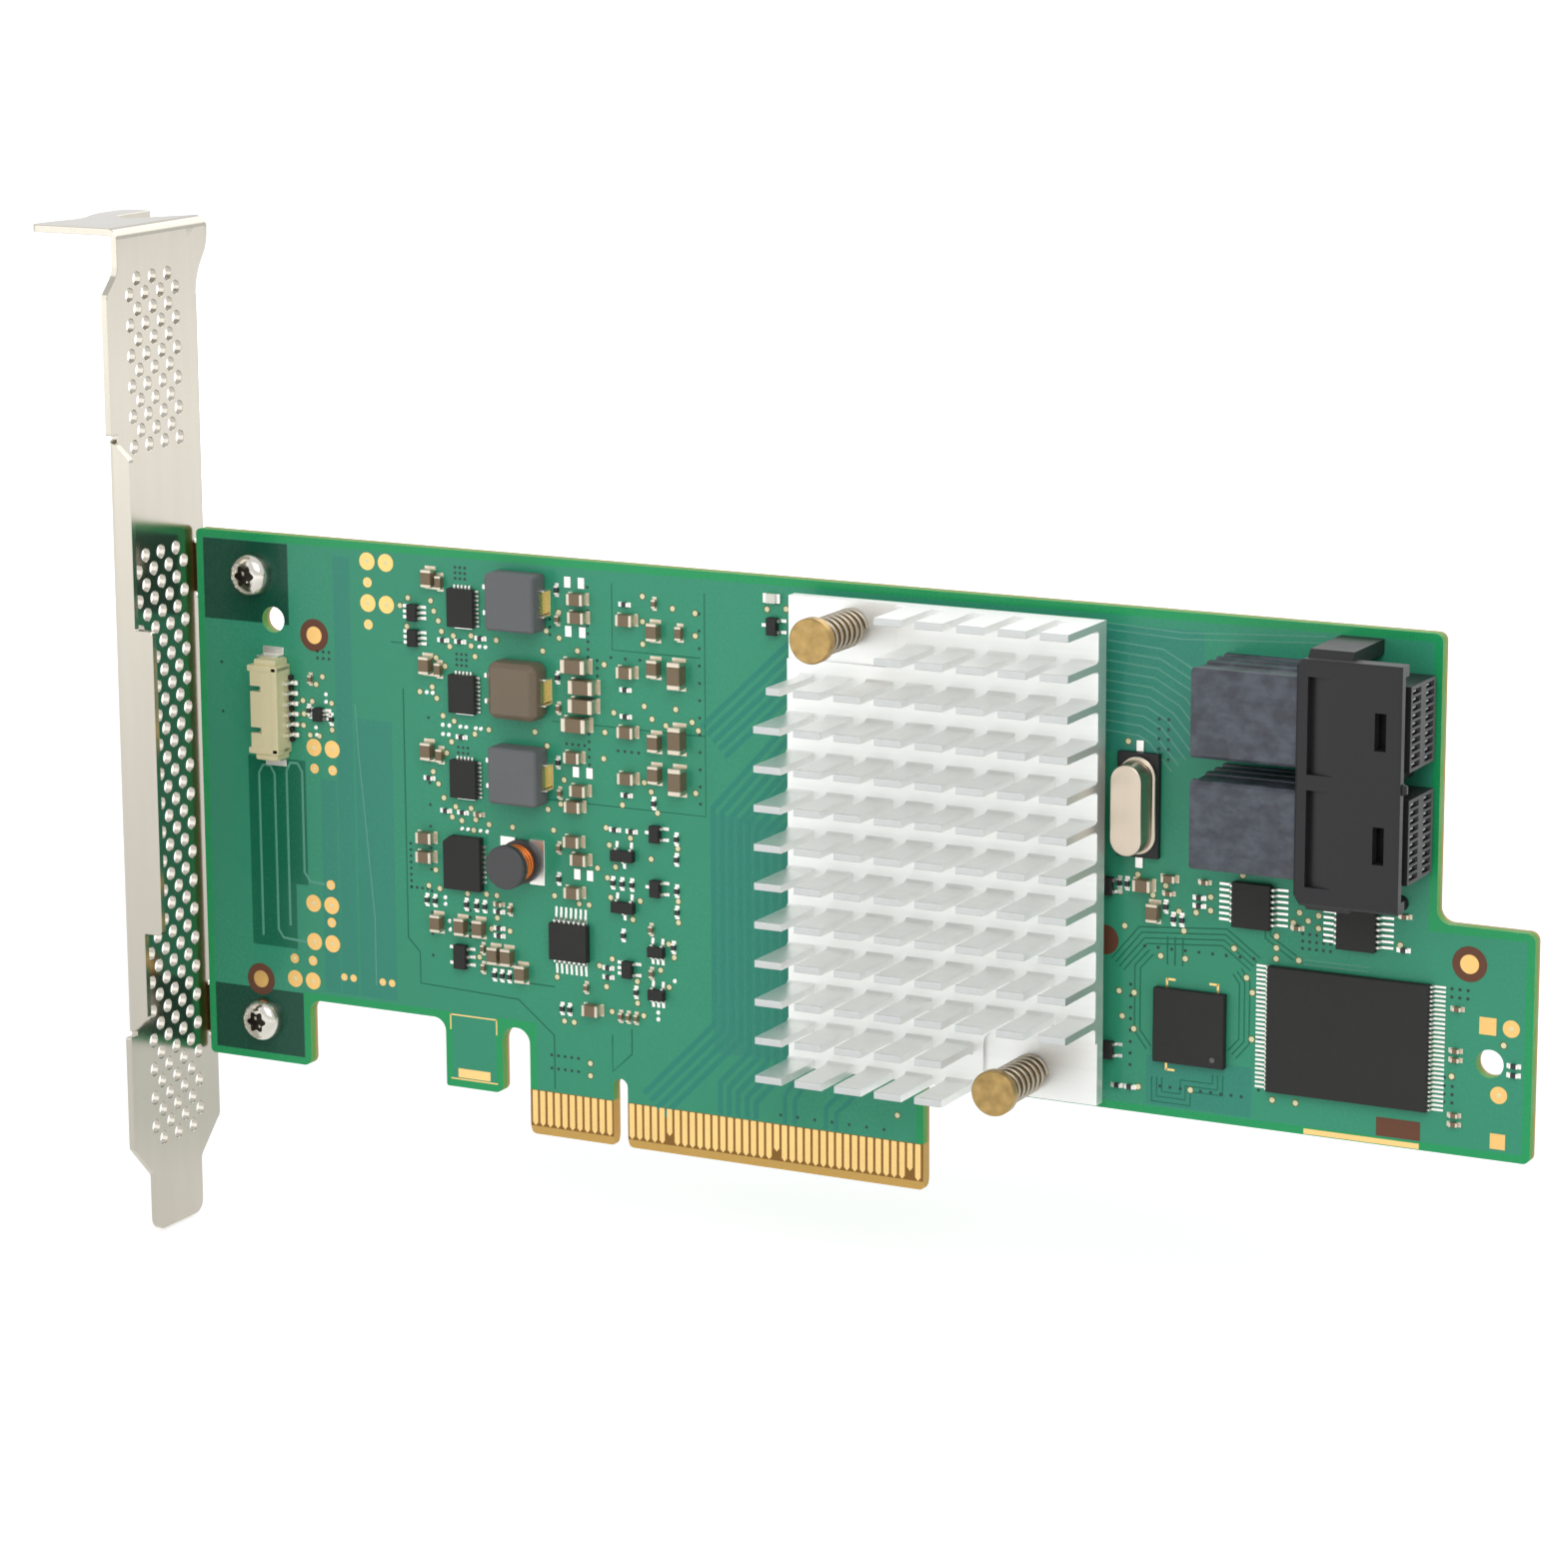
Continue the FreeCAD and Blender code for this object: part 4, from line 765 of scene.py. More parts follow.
def build_contacts():
    """Each contact has a pointed foot at the bevelled edge and a square head."""
    for node in ("edge_contacts_front", "edge_contacts_back"):
        bm = bmesh.new()
        for contact in solids_of(node):
            left, right = contact.x - contact.wide / 2, contact.x + contact.wide / 2
            foot, head = contact.z - contact.high / 2, contact.z + contact.high / 2
            corners = [(left, foot + CONTACT_POINT, 0), (left, head, 0.1), (right, head, 0.1),
                       (right, foot + CONTACT_POINT, 0), (contact.x, foot, 0)]
            add_prism(bm, corners, "Y", -contact.top, -contact.low, 2)
        make_piece(node + "_finished", bm, gold(), [node])


# ================================================================ stage
AIM = (21.638, 0.0, 45.389)     # what the camera looks at
LAMP_AIM = Vector((0.02, 0, 0.04))
LAMPS = {"key": ((0.45, -0.75, 0.75), 9.0), "fill": ((-0.7, -0.6, 0.35), 4.0),
         "back": ((0.1, 0.7, 0.7), 5.0)}        # place in metres, and power
LAMP_WIDE = 0.8
FLOOR_GAP = 0.0004
GLOW_NEAR, GLOW_FAR = 0.15, 0.7                 # the floor's glow rises between these distances


def looked_at(tree):
    """1 for what the eye sees directly, in a reflection or through glass, and 0 for light that falls."""
    path = tree.nodes.new("ShaderNodeLightPath")
    seen = maths(tree, "MAXIMUM", path.outputs["Is Camera Ray"], path.outputs["Is Glossy Ray"])
    return maths(tree, "MAXIMUM", seen, path.outputs["Is Transmission Ray"])


def build_world(ambient):
    """White where the eye looks, and an ambient level for the light that falls."""
    world = bpy.data.worlds.new("studio")
    world.use_nodes = True
    bpy.context.scene.world = world
    tree = world.node_tree
    level = map_range(tree, looked_at(tree), 0.0, 1.0, ambient)
    feed(tree, tree.nodes["Background"], {"Color": (1, 1, 1, 1), "Strength": level})


def build_floor():
    """A floor that looks white and glows less near the card, where its shadow falls."""
    material, tree, shader, where = new_material("floor_paint")
    away = add_node(tree, "VectorMath", {0: where}, operation="LENGTH").outputs["Value"]
    level = map_range(tree, away, GLOW_NEAR, GLOW_FAR, 0.5)
    glow = maths(tree, "MULTIPLY", looked_at(tree), level)
    feed(tree, shader, {"Base Color": (0.93, 0.93, 0.93, 1), "Emission Color": (1, 1, 1, 1),
                        "Emission Strength": glow, "Roughness": 0.9, "Specular IOR Level": 0.0})
    place = Matrix.Translation((0.02, 0.0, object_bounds()[0][2] - FLOOR_GAP))
    bm = bmesh.new()
    bmesh.ops.create_grid(bm, x_segments=1, y_segments=1, size=2.0, matrix=place)
    mesh = bpy.data.meshes.new("floor")
    bm.to_mesh(mesh)
    bm.free()
    mesh.materials.append(material)
    floor = new_object("floor", mesh)
    floor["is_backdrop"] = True


def build_stage():
    """Surroundings, floor, lamps and camera."""
    stage = bpy.context.scene.card_stage
    bpy.context.scene.view_settings.view_transform = "Standard"
    build_world(stage.ambient)
    build_floor()
    for name, (spot, power) in LAMPS.items():
        lamp = bpy.data.lights.new(name, "AREA")
        lamp.size = LAMP_WIDE
        lamp.energy = power * stage.lamps
        holder = new_object(name, lamp)
        holder.location = spot
        holder.rotation_euler = (LAMP_AIM - Vector(spot)).to_track_quat("-Z", "Y").to_euler()
    level = math.cos(stage.elevation)
    back = Vector((math.sin(stage.azimuth) * level, -math.cos(stage.azimuth) * level,
                   math.sin(stage.elevation)))
    turn = back.to_track_quat("Z", "Y").to_matrix().to_4x4() @ Matrix.Rotation(stage.roll, 4, "Z")
    lens = bpy.data.cameras.new("camera")
    lens.lens = stage.lens
    lens.sensor_width = 36.0
    lens.clip_start = 0.01
    camera = new_object("camera", lens)
    camera.matrix_world = Matrix.Translation(Vector(AIM) * MM + back * stage.distance) @ turn
    bpy.context.scene.camera = camera


# ================================================================ bracket
BRACKET_IN = -57.95             # inner face of the bracket's plate
PLATE_NEAR = -15.4
FLANGE_END = -70.24
LOBE_END = -70.94
RIB_ZONE = (10.3, 81.3)
EAR_BEND = 0.7
CHAMFER = 0.06                  # along both sides of every cut edge of the sheet
FOLD_STEPS = 8
VENT_ROW = 1.775
VENT_PITCH = 3.1
VENT_MIDDLE = -6.2
VENT_FIELDS = [(99.5, 12), (67.0, 41)]          # Z of the top row, and number of rows
RIB_SHALLOW, RIB_DEEP = 2.4, 4.85
RIB_STEPS = (22.8, 59.2)        # Z of the two steps between shallow and deep
RELIEF = 0.5                    # slit beside each fold
EAR_HALF = 3.05                 # half the height of an ear
EAR_TIP = -45.6
BACK_FACE = 1.57                # of the board, where the ears lie
PLATE_FAR = 2.65
NOTCH_SIDES = (-66.9, -62.2)    # X of the two sides of the screw notch
NOTCH_FLOOR = -1.9


def vent_spots():
    """Y and Z of each vent: rows of three and of four by turns."""
    spots = []
    for top_row, rows in VENT_FIELDS:
        for row in range(rows):
            z = top_row - row * VENT_ROW
            spots += [(VENT_MIDDLE + shift, z) for shift in spread(3 + row % 2, VENT_PITCH)]
    return spots


class Fold:
    """A right-angled fold of the blank along a line of constant Y or Z.

    The blank lies at X from 0 to -sheet. The part of it beyond the line, on the side given by sign,
    turns towards +X or -X, as towards says, but only between the two limits along the line.
    """

    def __init__(self, axis, sign, line, inner, towards, limits):
        self.axis, self.sign, self.line = axis, sign, line
        self.towards, self.limits = towards, limits
        self.sheet = bpy.context.scene.card_sizes.sheet / MM
        self.arc = (inner + self.sheet / 2) * math.pi / 2
        self.centre = inner if towards > 0 else -self.sheet - inner

    def flat(self, reach):
        """Where in the blank a point comes from that the finished fold holds at this X."""
        leg = (reach - BRACKET_IN - self.centre) * self.towards
        return self.line + self.sign * (self.arc + leg)

    def cuts(self):
        """Lines across the blank that let the fold turn smoothly."""
        return [self.line + self.sign * self.arc * step / FOLD_STEPS for step in range(FOLD_STEPS + 1)]

    def turn(self, verts):
        """Fold the vertices that lie beyond the line."""
        other = 3 - self.axis
        for vert in verts:
            beyond = (vert.co[self.axis] / MM - self.line) * self.sign
            if beyond <= 0 or not self.limits[0] < vert.co[other] / MM < self.limits[1]:
                continue
            radius = abs(self.centre - vert.co.x / MM)
            angle = min(beyond / self.arc, 1.0) * math.pi / 2
            leg = max(0.0, beyond - self.arc)
            vert.co.x = (self.centre + self.towards * (leg - radius * math.cos(angle))) * MM
            vert.co[self.axis] = (self.line + self.sign * radius * math.sin(angle)) * MM


def bracket_folds(sheet, bend):
    """The folds of the flange, the rib and the two ears."""
    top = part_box("bracket")[1][2] / MM
    flange = Fold(2, 1, top - sheet - bend, bend, -1, (-20, 10))
    rib = Fold(1, -1, PLATE_NEAR + sheet + bend, bend, 1, (RIB_ZONE[0] - 0.2, RIB_ZONE[1] + 0.2))
    reach = EAR_HALF + 0.15
    ears = [Fold(1, 1, BACK_FACE - EAR_BEND, EAR_BEND, 1, (screw.z - reach, screw.z + reach))
            for screw in solids_of("bracket_screws")]
    return flange, rib, ears


def bracket_blank(flange, rib, ears):
    """The outline of the unfolded sheet as (Y, Z, radius) corners."""
    deep, shallow = rib.flat(BRACKET_IN + RIB_DEEP), rib.flat(BRACKET_IN + RIB_SHALLOW)
    low, high = RIB_ZONE
    step_low, step_high = RIB_STEPS
    rise = rib.line - rib.arc
    near = [(-11.3, -15.3, 1.6), (-11.3, -8.3, 0.3), (PLATE_NEAR, -4.0, 0.3),
            (PLATE_NEAR, low - RELIEF, 0.2), (rib.line, low - RELIEF, 0), (rib.line, low, 0),
            (rise, low + 0.4, 0.2), (shallow, low + 2.1, 0.4), (shallow, step_low, 0.2),
            (deep, step_low, 0.6), (deep, step_high, 0.6), (shallow, step_high, 0.2),
            (shallow, high - 2.1, 0.4), (rise, high - 0.4, 0.2), (rib.line, high, 0),
            (rib.line, high + RELIEF, 0), (PLATE_NEAR, high + RELIEF, 0.2), (PLATE_NEAR, 98.0, 0.4),
            (-13.1, 100.4, 0.8)]
    end, lobe = flange.flat(FLANGE_END), flange.flat(LOBE_END)
    notch_end, notch_start = [flange.flat(side) for side in NOTCH_SIDES]
    top = [(-13.1, end, 1.2), (-10.0, end, 1.5), (-4.6, flange.flat(FLANGE_END + 1.4), 1.5),
           (1.0, lobe, 1.5), (7.0, lobe, 2.2), (7.0, notch_end, 0.5), (NOTCH_FLOOR, notch_end, 2.3),
           (NOTCH_FLOOR, notch_start, 2.3), (0.6, notch_start, 0.8), (4.9, flange.line + flange.arc, 0.3),
           (5.3, flange.line, 0.3), (5.3, 102.2, 1.3), (PLATE_FAR, 98.5, 2.0)]
    far = []
    for ear in sorted(ears, key=lambda each: -each.limits[0]):
        foot, head = ear.limits[0] + 0.15, ear.limits[1] - 0.15
        tip = ear.flat(EAR_TIP)
        far += [(PLATE_FAR, head + RELIEF, 0.2), (ear.line, head + RELIEF, 0), (ear.line, head, 0),
                (tip, head, 2.4), (tip, foot, 2.4), (ear.line, foot, 0), (ear.line, foot - RELIEF, 0),
                (PLATE_FAR, foot - RELIEF, 0.2)]
    return near + top + far + [(PLATE_FAR, -4.0, 0.3), (-1.5, -8.3, 0.3), (-1.5, -15.3, 1.6)]


def build_bracket():
    """Plate, flange, rib and ears are one sheet, cut flat with its vents and then folded."""
    sizes = bpy.context.scene.card_sizes
    sheet = sizes.sheet / MM
    flange, rib, ears = bracket_folds(sheet, sizes.bend / MM)
    bm = bmesh.new()
    add_outline(bm, bracket_blank(flange, rib, ears), "X", -CHAMFER)
    bmesh.ops.delete(bm, geom=bm.faces[:], context="FACES_ONLY")
    turn = Matrix.Rotation(math.pi / 2, 4, "Y")
    for y, z in vent_spots():
        place = Matrix.Translation(Vector((-CHAMFER, y, z)) * MM)
        bmesh.ops.create_circle(bm, cap_ends=False, segments=16, radius=sizes.vent / 2,
                                matrix=place @ turn)
    bmesh.ops.triangle_fill(bm, use_beauty=True, use_dissolve=False, edges=bm.edges[:])
    for fold in (flange, rib, ears[0]):
        across = Vector((0, 0, 0))
        across[fold.axis] = 1.0
        for spot in fold.cuts():
            bmesh.ops.bisect_plane(bm, geom=bm.verts[:] + bm.edges[:] + bm.faces[:], dist=1e-7,
                                   plane_co=across * spot * MM, plane_no=across)
    bmesh.ops.remove_doubles(bm, verts=bm.verts[:], dist=0.01 * MM)
    push_out(bm, bm.faces[:], 0, 2 * CHAMFER - sheet)
    bmesh.ops.recalc_face_normals(bm, faces=bm.faces[:])
    for side in (-1, 1):
        flat = [f for f in bm.faces if f.normal.x * side > 0.9]
        bmesh.ops.inset_region(bm, faces=flat, use_boundary=True, use_even_offset=False,
                               thickness=CHAMFER * MM, depth=CHAMFER * MM)
    for fold in (flange, rib, *ears):
        fold.turn(bm.verts)
    bmesh.ops.translate(bm, verts=bm.verts[:], vec=(BRACKET_IN * MM, 0, 0))
    make_piece("bracket_finished", bm, steel(), ["bracket"])


SCREW = [(0, -3.4), (1.1, -3.4), (1.45, -3.0), (1.45, 0), (2.6, 0), (2.6, 0.6), (2.4, 1.3), (1.95, 1.75),
         (1.45, 1.95), (1.2, 1.95), (1.05, 0.4), (0, 0.4)]      # radius and rise
LOBES, LOBE_MEAN, LOBE_SWING = 6, 0.94, 0.17


def build_screws():
    """Pan heads with a six-lobed recess, and their shanks behind the ears; a dark disc in each recess is
    painted shade.
    """
    bm, shade = bmesh.new(), bmesh.new()
    for screw in solids_of("bracket_screws"):
        part = bmesh.new()
        add_turned(part, screw.x, screw.z, SCREW, 36)
        middle = Vector((screw.x, screw.z)) * MM
        for vert in part.verts:
            across = vert.co.xz - middle
            if -vert.co.y > 0.3 * MM and 0.5 * MM < across.length < 1.3 * MM:
                swing = math.cos(LOBES * math.atan2(across.y, across.x))
                vert.co.xz = middle + across * (LOBE_MEAN + LOBE_SWING * swing)
        join(bm, part)
        # painted shade: a dark disc on the floor of each recess, where the head's own shade falls
        add_disc(shade, screw.x, screw.z, 2.0, 0.3, 0.45, 18)
    chrome = surface("screw_plating", tone(206, 202, 194), 0.1, 0.2, metallic=1.0, contrast=0.08,
                     bump=0.004)
    # dark finish of the painted shade in the screw recesses
    dark = surface("recess_shade", tone(52, 46, 40), 0.4, 0.6, metallic=0.5)
    make_piece("bracket_screws_finished", bm, chrome, ["bracket_screws"])
    make_piece("screw_recess_painted_shade", shade, dark)


# ================================================================ heatsink, pins and controller
FIN_ROWS, FIN_COLUMNS = 13, 8
FIN_THICK, FIN_GAP, FIN_RISE = 0.85, 1.64, 8.0
FIN_ROOT = 0.35                 # flare at the foot of each fin
POCKET_WIDE, POCKET_HIGH, POCKET_DEEP = 13.5, 7.0, 0.5
POCKET_ROWS, POCKET_COLUMNS = 2, 3              # fins left out over each corner pocket
FIRST_FIN_CUT = 1.6             # how much shorter the first fin below the upper pocket is
SAWN_REACH = 0.4                # faces this near to the tips have the sawn finish


def add_fin(bm, left, right, z, top, flare_low, flare_high):
    """One straight fin with a flared root and rounded tip edges."""
    foot, head, tip = z, z + FIN_THICK, top + FIN_RISE
    corners = [(-top + 0.02, foot - flare_low, 0), (-top - FIN_ROOT, foot, 0.3), (-tip, foot, 0.12),
               (-tip, head, 0.12), (-top - FIN_ROOT, head, 0.3), (-top + 0.02, head + flare_high, 0)]
    add_prism(bm, corners, "X", left, right, 3)


def build_heatsink():
    """Base in two layers, the upper one with its corner pockets, and the rows of cross-cut fins."""
    sawn = surface("sawn_aluminium", tone(206, 209, 208), 0.45, 0.6, metallic=0.6, fine=5000.0, broad=900.0,
                   contrast=0.08, bump=0.012)
    metal = brushed("heatsink_aluminium", paint().aluminium, 0.34, 0.5,
                    (40.0, 600.0, 2500.0), contrast=0.04, bump=0.006, metallic=0.7)
    low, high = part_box("heatsink")
    x0, x1 = low[0] / MM, high[0] / MM
    z0, z1 = low[2] / MM, high[2] / MM
    under, top = -high[1] / MM, -low[1] / MM - FIN_RISE
    floor = top - POCKET_DEEP
    bm = bmesh.new()
    add_prism(bm, [(x0, z0, 0), (x0, z1, 0), (x1, z1, 0), (x1, z0, 0)], "Y", -floor, -under)
    inner_x, inner_z = x1 - POCKET_WIDE, z0 + POCKET_HIGH
    outer_x, outer_z = x0 + POCKET_WIDE, z1 - POCKET_HIGH
    upper = bmesh.new()
    add_prism(upper, [(x0, z0, 0), (x0, outer_z, 0.1), (outer_x, outer_z, 1.5), (outer_x, z1, 0.1),
                      (x1, z1, 0), (x1, inner_z, 0.1), (inner_x, inner_z, 1.5), (inner_x, z0, 0.1)],
              "Y", -top, -floor)
    rim = [e for e in upper.edges if all(v.co.y < (0.01 - top) * MM for v in e.verts)]
    bevel_edges(upper, rim, 0.1 * MM)
    join(bm, upper)
    pitch = (z1 - z0 - FIN_THICK) / (FIN_ROWS - 1)
    length = (x1 - x0 - (FIN_COLUMNS - 1) * FIN_GAP) / FIN_COLUMNS
    for row in range(FIN_ROWS):
        z = z0 + row * pitch
        flare_low = FIN_ROOT if row > 0 else 0.0
        flare_high = FIN_ROOT if row < FIN_ROWS - 1 else 0.0
        for column in range(FIN_COLUMNS):
            lower = row < POCKET_ROWS and column >= FIN_COLUMNS - POCKET_COLUMNS
            upper = row >= FIN_ROWS - POCKET_ROWS and column < POCKET_COLUMNS
            if lower or upper:
                continue
            left = x0 + column * (length + FIN_GAP)
            cut = FIRST_FIN_CUT if row == FIN_ROWS - POCKET_ROWS - 1 and column == 0 else 0.0
            add_fin(bm, left + cut, left + length, z, top, flare_low, flare_high)
    for face in bm.faces:
        if all(-v.co.y > (top + FIN_RISE - SAWN_REACH) * MM for v in face.verts):
            face.material_index = 1
    make_piece("heatsink_finished", bm, [metal, sawn], ["heatsink"])


def build_controller():
    """The chip below the heatsink, and a finish for the pad on it."""
    dress("controller_substrate", mask_plain(), 0.05)
    dress("controller_lid", tin(), 0.1)
    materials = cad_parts["thermal_pad"].data.materials
    materials.clear()
    materials.append(surface("thermal_pad", tone(128, 130, 134), 0.7, 0.9, bump=0.02))


PIN_HEAD = 12.9                 # rise of the underside of a pin's head
PIN = [(0, -4.5), (0.9, -4.5), (1.95, -2.1), (1.95, -1.57), (1.45, -1.57), (1.45, PIN_HEAD),
       (2.4, PIN_HEAD), (2.55, 13.05), (2.55, 14.1), (2.4, 14.3), (0, 14.3)]   # radius and rise
SPRING_TURNS, SPRING_RUNS = 7, 28               # turns, and runs in each
SPRING_RADIUS, SPRING_WIRE, SPRING_FOOT = 1.92, 0.23, 4.1


def build_pins():
    """Brass pins with barbed feet behind the board, and the coil springs below their heads."""
    brass = surface("turned_brass", paint().brass, 0.24, 0.46, metallic=1.0, fine=2600.0, broad=900.0,
                    contrast=0.55, bump=0.02)
    wire = surface("spring_wire", tone(168, 160, 146), 0.25, 0.4, metallic=1.0, bump=0.004)
    bm, coils = bmesh.new(), bmesh.new()
    rise = (PIN_HEAD - SPRING_FOOT - 2 * SPRING_WIRE) / SPRING_TURNS
    for pin in solids_of("push_pins"):
        add_turned(bm, pin.x, pin.z, PIN, 40)
        start = Vector((pin.x + SPRING_RADIUS, -(SPRING_FOOT + SPRING_WIRE), pin.z)) * MM
        ring = bmesh.ops.create_circle(coils, cap_ends=True, segments=8, radius=SPRING_WIRE * MM,
                                       matrix=Matrix.Translation(start))
        faces = {f for v in ring["verts"] for f in v.link_faces}
        bmesh.ops.spin(coils, geom=list(faces) + ring["verts"], cent=Vector((pin.x, 0, pin.z)) * MM,
                       axis=(0, 1, 0), dvec=Vector((0, -rise / SPRING_RUNS, 0)) * MM,
                       angle=-2 * math.pi * SPRING_TURNS, steps=SPRING_TURNS * SPRING_RUNS,
                       use_merge=False, use_duplicate=False)
    make_piece("push_pins_finished", bm, brass, ["push_pins"])
    make_piece("push_pin_springs_finished", coils, wire, ["push_pin_springs"], smooth=1.2)


# ================================================================ double port
def build_ports():
    """Hood, modules and contact blocks of the double port, and the peg beside it."""
    plastic = port_plastic()
    dress("port_shroud", plastic, 0.12)
    dress("port_modules", module_plastic(), 0.08)
    dress("port_contact_blocks", plastic, 0.06, 1)
    build_blades()
    bm = bmesh.new()
    add_disc(bm, 95.5, 39.6, 1.7, 0.0, 1.4, 24, 0.55)
    make_piece("port_peg", bm, plastic)


def module_plastic():
    """Moulding with faint swirls and fine scuffs."""
    material, tree, shader, where = new_material("finish_module_plastic")
    grain = place_group(tree, grain_group(), where, Fine=5200.0, Broad=420.0, Low=0.3, High=0.6).outputs
    scuffs = place_group(tree, brush_group(), where, Stretch=(520.0, 300.0, 900.0)).outputs["Lines"]
    swirl = map_range(tree, maths(tree, "MULTIPLY", grain["Cloud"], scuffs), 0.16, 0.36)
    tint = mix_colour(tree, swirl, tone(56, 60, 68), tone(84, 90, 100))
    feed(tree, shader, {"Base Color": tint, "Roughness": grain["Value"]})
    add_bump(tree, shader, scuffs, 0.02)
    return material


CAVITIES, CAVITY_PITCH = 10, 0.86
CAVITY_RISES = ((1.4, 3.7), (5.2, 7.6))         # low and high side of the two columns


def build_blades():
    """Contact ends that stand in the cavities of the blocks, two columns in each."""
    bm = bmesh.new()
    for body in solids_of("port_contact_blocks"):
        face = body.x + body.wide / 2
        for low, high in CAVITY_RISES:
            for shift in spread(CAVITIES, CAVITY_PITCH):
                z = body.z + shift
                add_block(bm, face - 0.36, z + CAVITY_PITCH / 2, 0.7, 0.3, low - 0.1, high + 0.1, 0.05)
                add_block(bm, face - 0.5, z, 0.5, 0.2, low + 0.9, high, 0.04)
    blade = surface("contact_blade", tone(196, 200, 206), 0.3, 0.45, metallic=0.3, bump=0.004)
    make_piece("port_blades", bm, blade)


# ================================================================ chips
LEAD_SHEET = 0.13


def runs_along_x(body, lead):
    """Whether a lead leaves its body towards X rather than towards Z."""
    return abs(lead.x - body.x) - body.wide / 2 > abs(lead.z - body.z) - body.high / 2


def gull_lead(bm, body, lead, shoulder):
    """One bent lead from its CAD place: a flat foot, a slope and a short arm that enters the body."""
    along_x = runs_along_x(body, lead)
    if along_x:
        away, inner, length, wide = lead.x - body.x, body.wide / 2, lead.wide, lead.high
    else:
        away, inner, length, wide = lead.z - body.z, body.high / 2, lead.high, lead.wide
    side = math.copysign(1, away)
    reach = abs(away) + length / 2
    run, arm = reach - inner, shoulder + LEAD_SHEET
    outline = [(reach, 0), (reach, LEAD_SHEET), (inner + run * 0.55, LEAD_SHEET), (inner + run * 0.3, arm),
               (inner - 0.1, arm), (inner - 0.1, shoulder), (inner + run * 0.15, shoulder),
               (inner + run * 0.42, 0)]
    verts = []
    for distance, rise in outline:
        if along_x:
            spot = (body.x + side * distance, -rise, lead.z - wide / 2)
        else:
            spot = (lead.x - wide / 2, -rise, body.z + side * distance)
        verts.append(bm.verts.new(Vector(spot) * MM))
    push_out(bm, [bm.faces.new(verts)], 2 if along_x else 0, wide)


def add_solder(bm, body, lead, beyond):
    """The soldered pad below a lead, which shows beyond its foot."""
    if runs_along_x(body, lead):
        shift = math.copysign(beyond / 2, lead.x - body.x)
        add_block(bm, lead.x + shift, lead.z, lead.wide + beyond, lead.high + 0.06, 0.0, 0.06, 0.02)
    else:
        shift = math.copysign(beyond / 2, lead.z - body.z)
        add_block(bm, lead.x, lead.z + shift, lead.wide + 0.06, lead.high + beyond, 0.0, 0.06, 0.02)


def build_leads(bodies_name, leads_name, shoulder, beyond):
    """The bent leads of a node, each on its nearest body, with their solder."""
    bodies = solids_of(bodies_name)
    bm = bmesh.new()
    for lead in solids_of(leads_name):
        body = min(bodies, key=lambda each: max(abs(each.x - lead.x) - each.wide / 2,
                                                abs(each.z - lead.z) - each.high / 2))
        gull_lead(bm, body, lead, shoulder)
        add_solder(bm, body, lead, beyond)
    make_piece(leads_name + "_finished", bm, tin(), [leads_name])


STAGE_PITCH, REGULATOR_PITCH = 0.5, 0.6
CORNER_MARKS = ((68.7, 27.7, 1, 1), (74.7, 27.7, -1, 1), (68.7, 18.5, 1, -1))     # x, z, and their sides


def build_lands():
    """Soldered lands that show round the packages without leads."""
    bm = bmesh.new()
    for stage in solids_of("power_stages"):
        for shift in spread(9, STAGE_PITCH):
            add_block(bm, stage.x + stage.wide / 2 + 0.18, stage.z + shift, 0.6, 0.3, 0.0, 0.3, 0.06)
        for shift in spread(5, STAGE_PITCH):
            add_block(bm, stage.x + shift, stage.z + stage.high / 2 + 0.15, 0.3, 0.55, 0.0, 0.3, 0.06)
        add_block(bm, stage.x, stage.z - stage.high / 2 - 0.12, 2.4, 0.3, 0.0, 0.1, 0.03)
    regulator = solids_of("regulator_body")[0]
    for side in (-1, 1):
        x = regulator.x + side * (regulator.wide / 2 + 0.15)
        for shift in spread(8, REGULATOR_PITCH):
            add_block(bm, x, regulator.z + shift, 0.5, 0.32, 0.0, 0.24, 0.05)
    make_piece("package_lands", bm, tin())
    bm = bmesh.new()
    for x, z, side_x, side_z in CORNER_MARKS:
        add_block(bm, x, z, 0.25, 1.2, 0.0, PAD_RISE)
        add_block(bm, x + side_x * 0.5, z + side_z * 0.5, 1.0, 0.25, 0.0, PAD_RISE)
    make_piece("corner_marks", bm, gold())


def build_chips():
    """Moulded packages with their leads and lands, and the dot on the logic chip."""
    dress_all(epoxy(), {"flash_body": 0.1, "buffer_bodies": 0.08, "small_chip_bodies": 0.08,
                                      "logic_body": 0.08, "power_stages": 0.06, "regulator_body": 0.06})
    build_leads("flash_body", "flash_leads", 0.5, 0.8)
    build_leads("buffer_bodies", "buffer_leads", 0.5, 0.7)
    build_leads("small_chip_bodies", "small_chip_leads", 0.4, 0.35)
    build_lands()
    bm = bmesh.new()
    logic = solids_of("logic_body")[0]
    add_disc(bm, logic.x + 2.9, logic.z - 3.2, 0.6, logic.top, logic.top + 0.012, 24)
    make_piece("logic_dot", bm, surface("dot_print", tone(96, 96, 96), 0.4, 0.6))


# ================================================================ supply
DRUM = [(0, 0.3), (2.6, 0.3), (2.6, 1.1), (1.3, 1.1), (1.3, 3.4), (2.5, 3.4), (2.6, 3.5), (2.6, 4.3),
        (2.4, 4.5), (0, 4.5)]   # radius and rise
WIRE_LAYERS, WIRE_STEPS = 4, 6
WIRE_LOW, WIRE_LAYER = 1.42, 0.56               # rise of the first layer, and of each next one


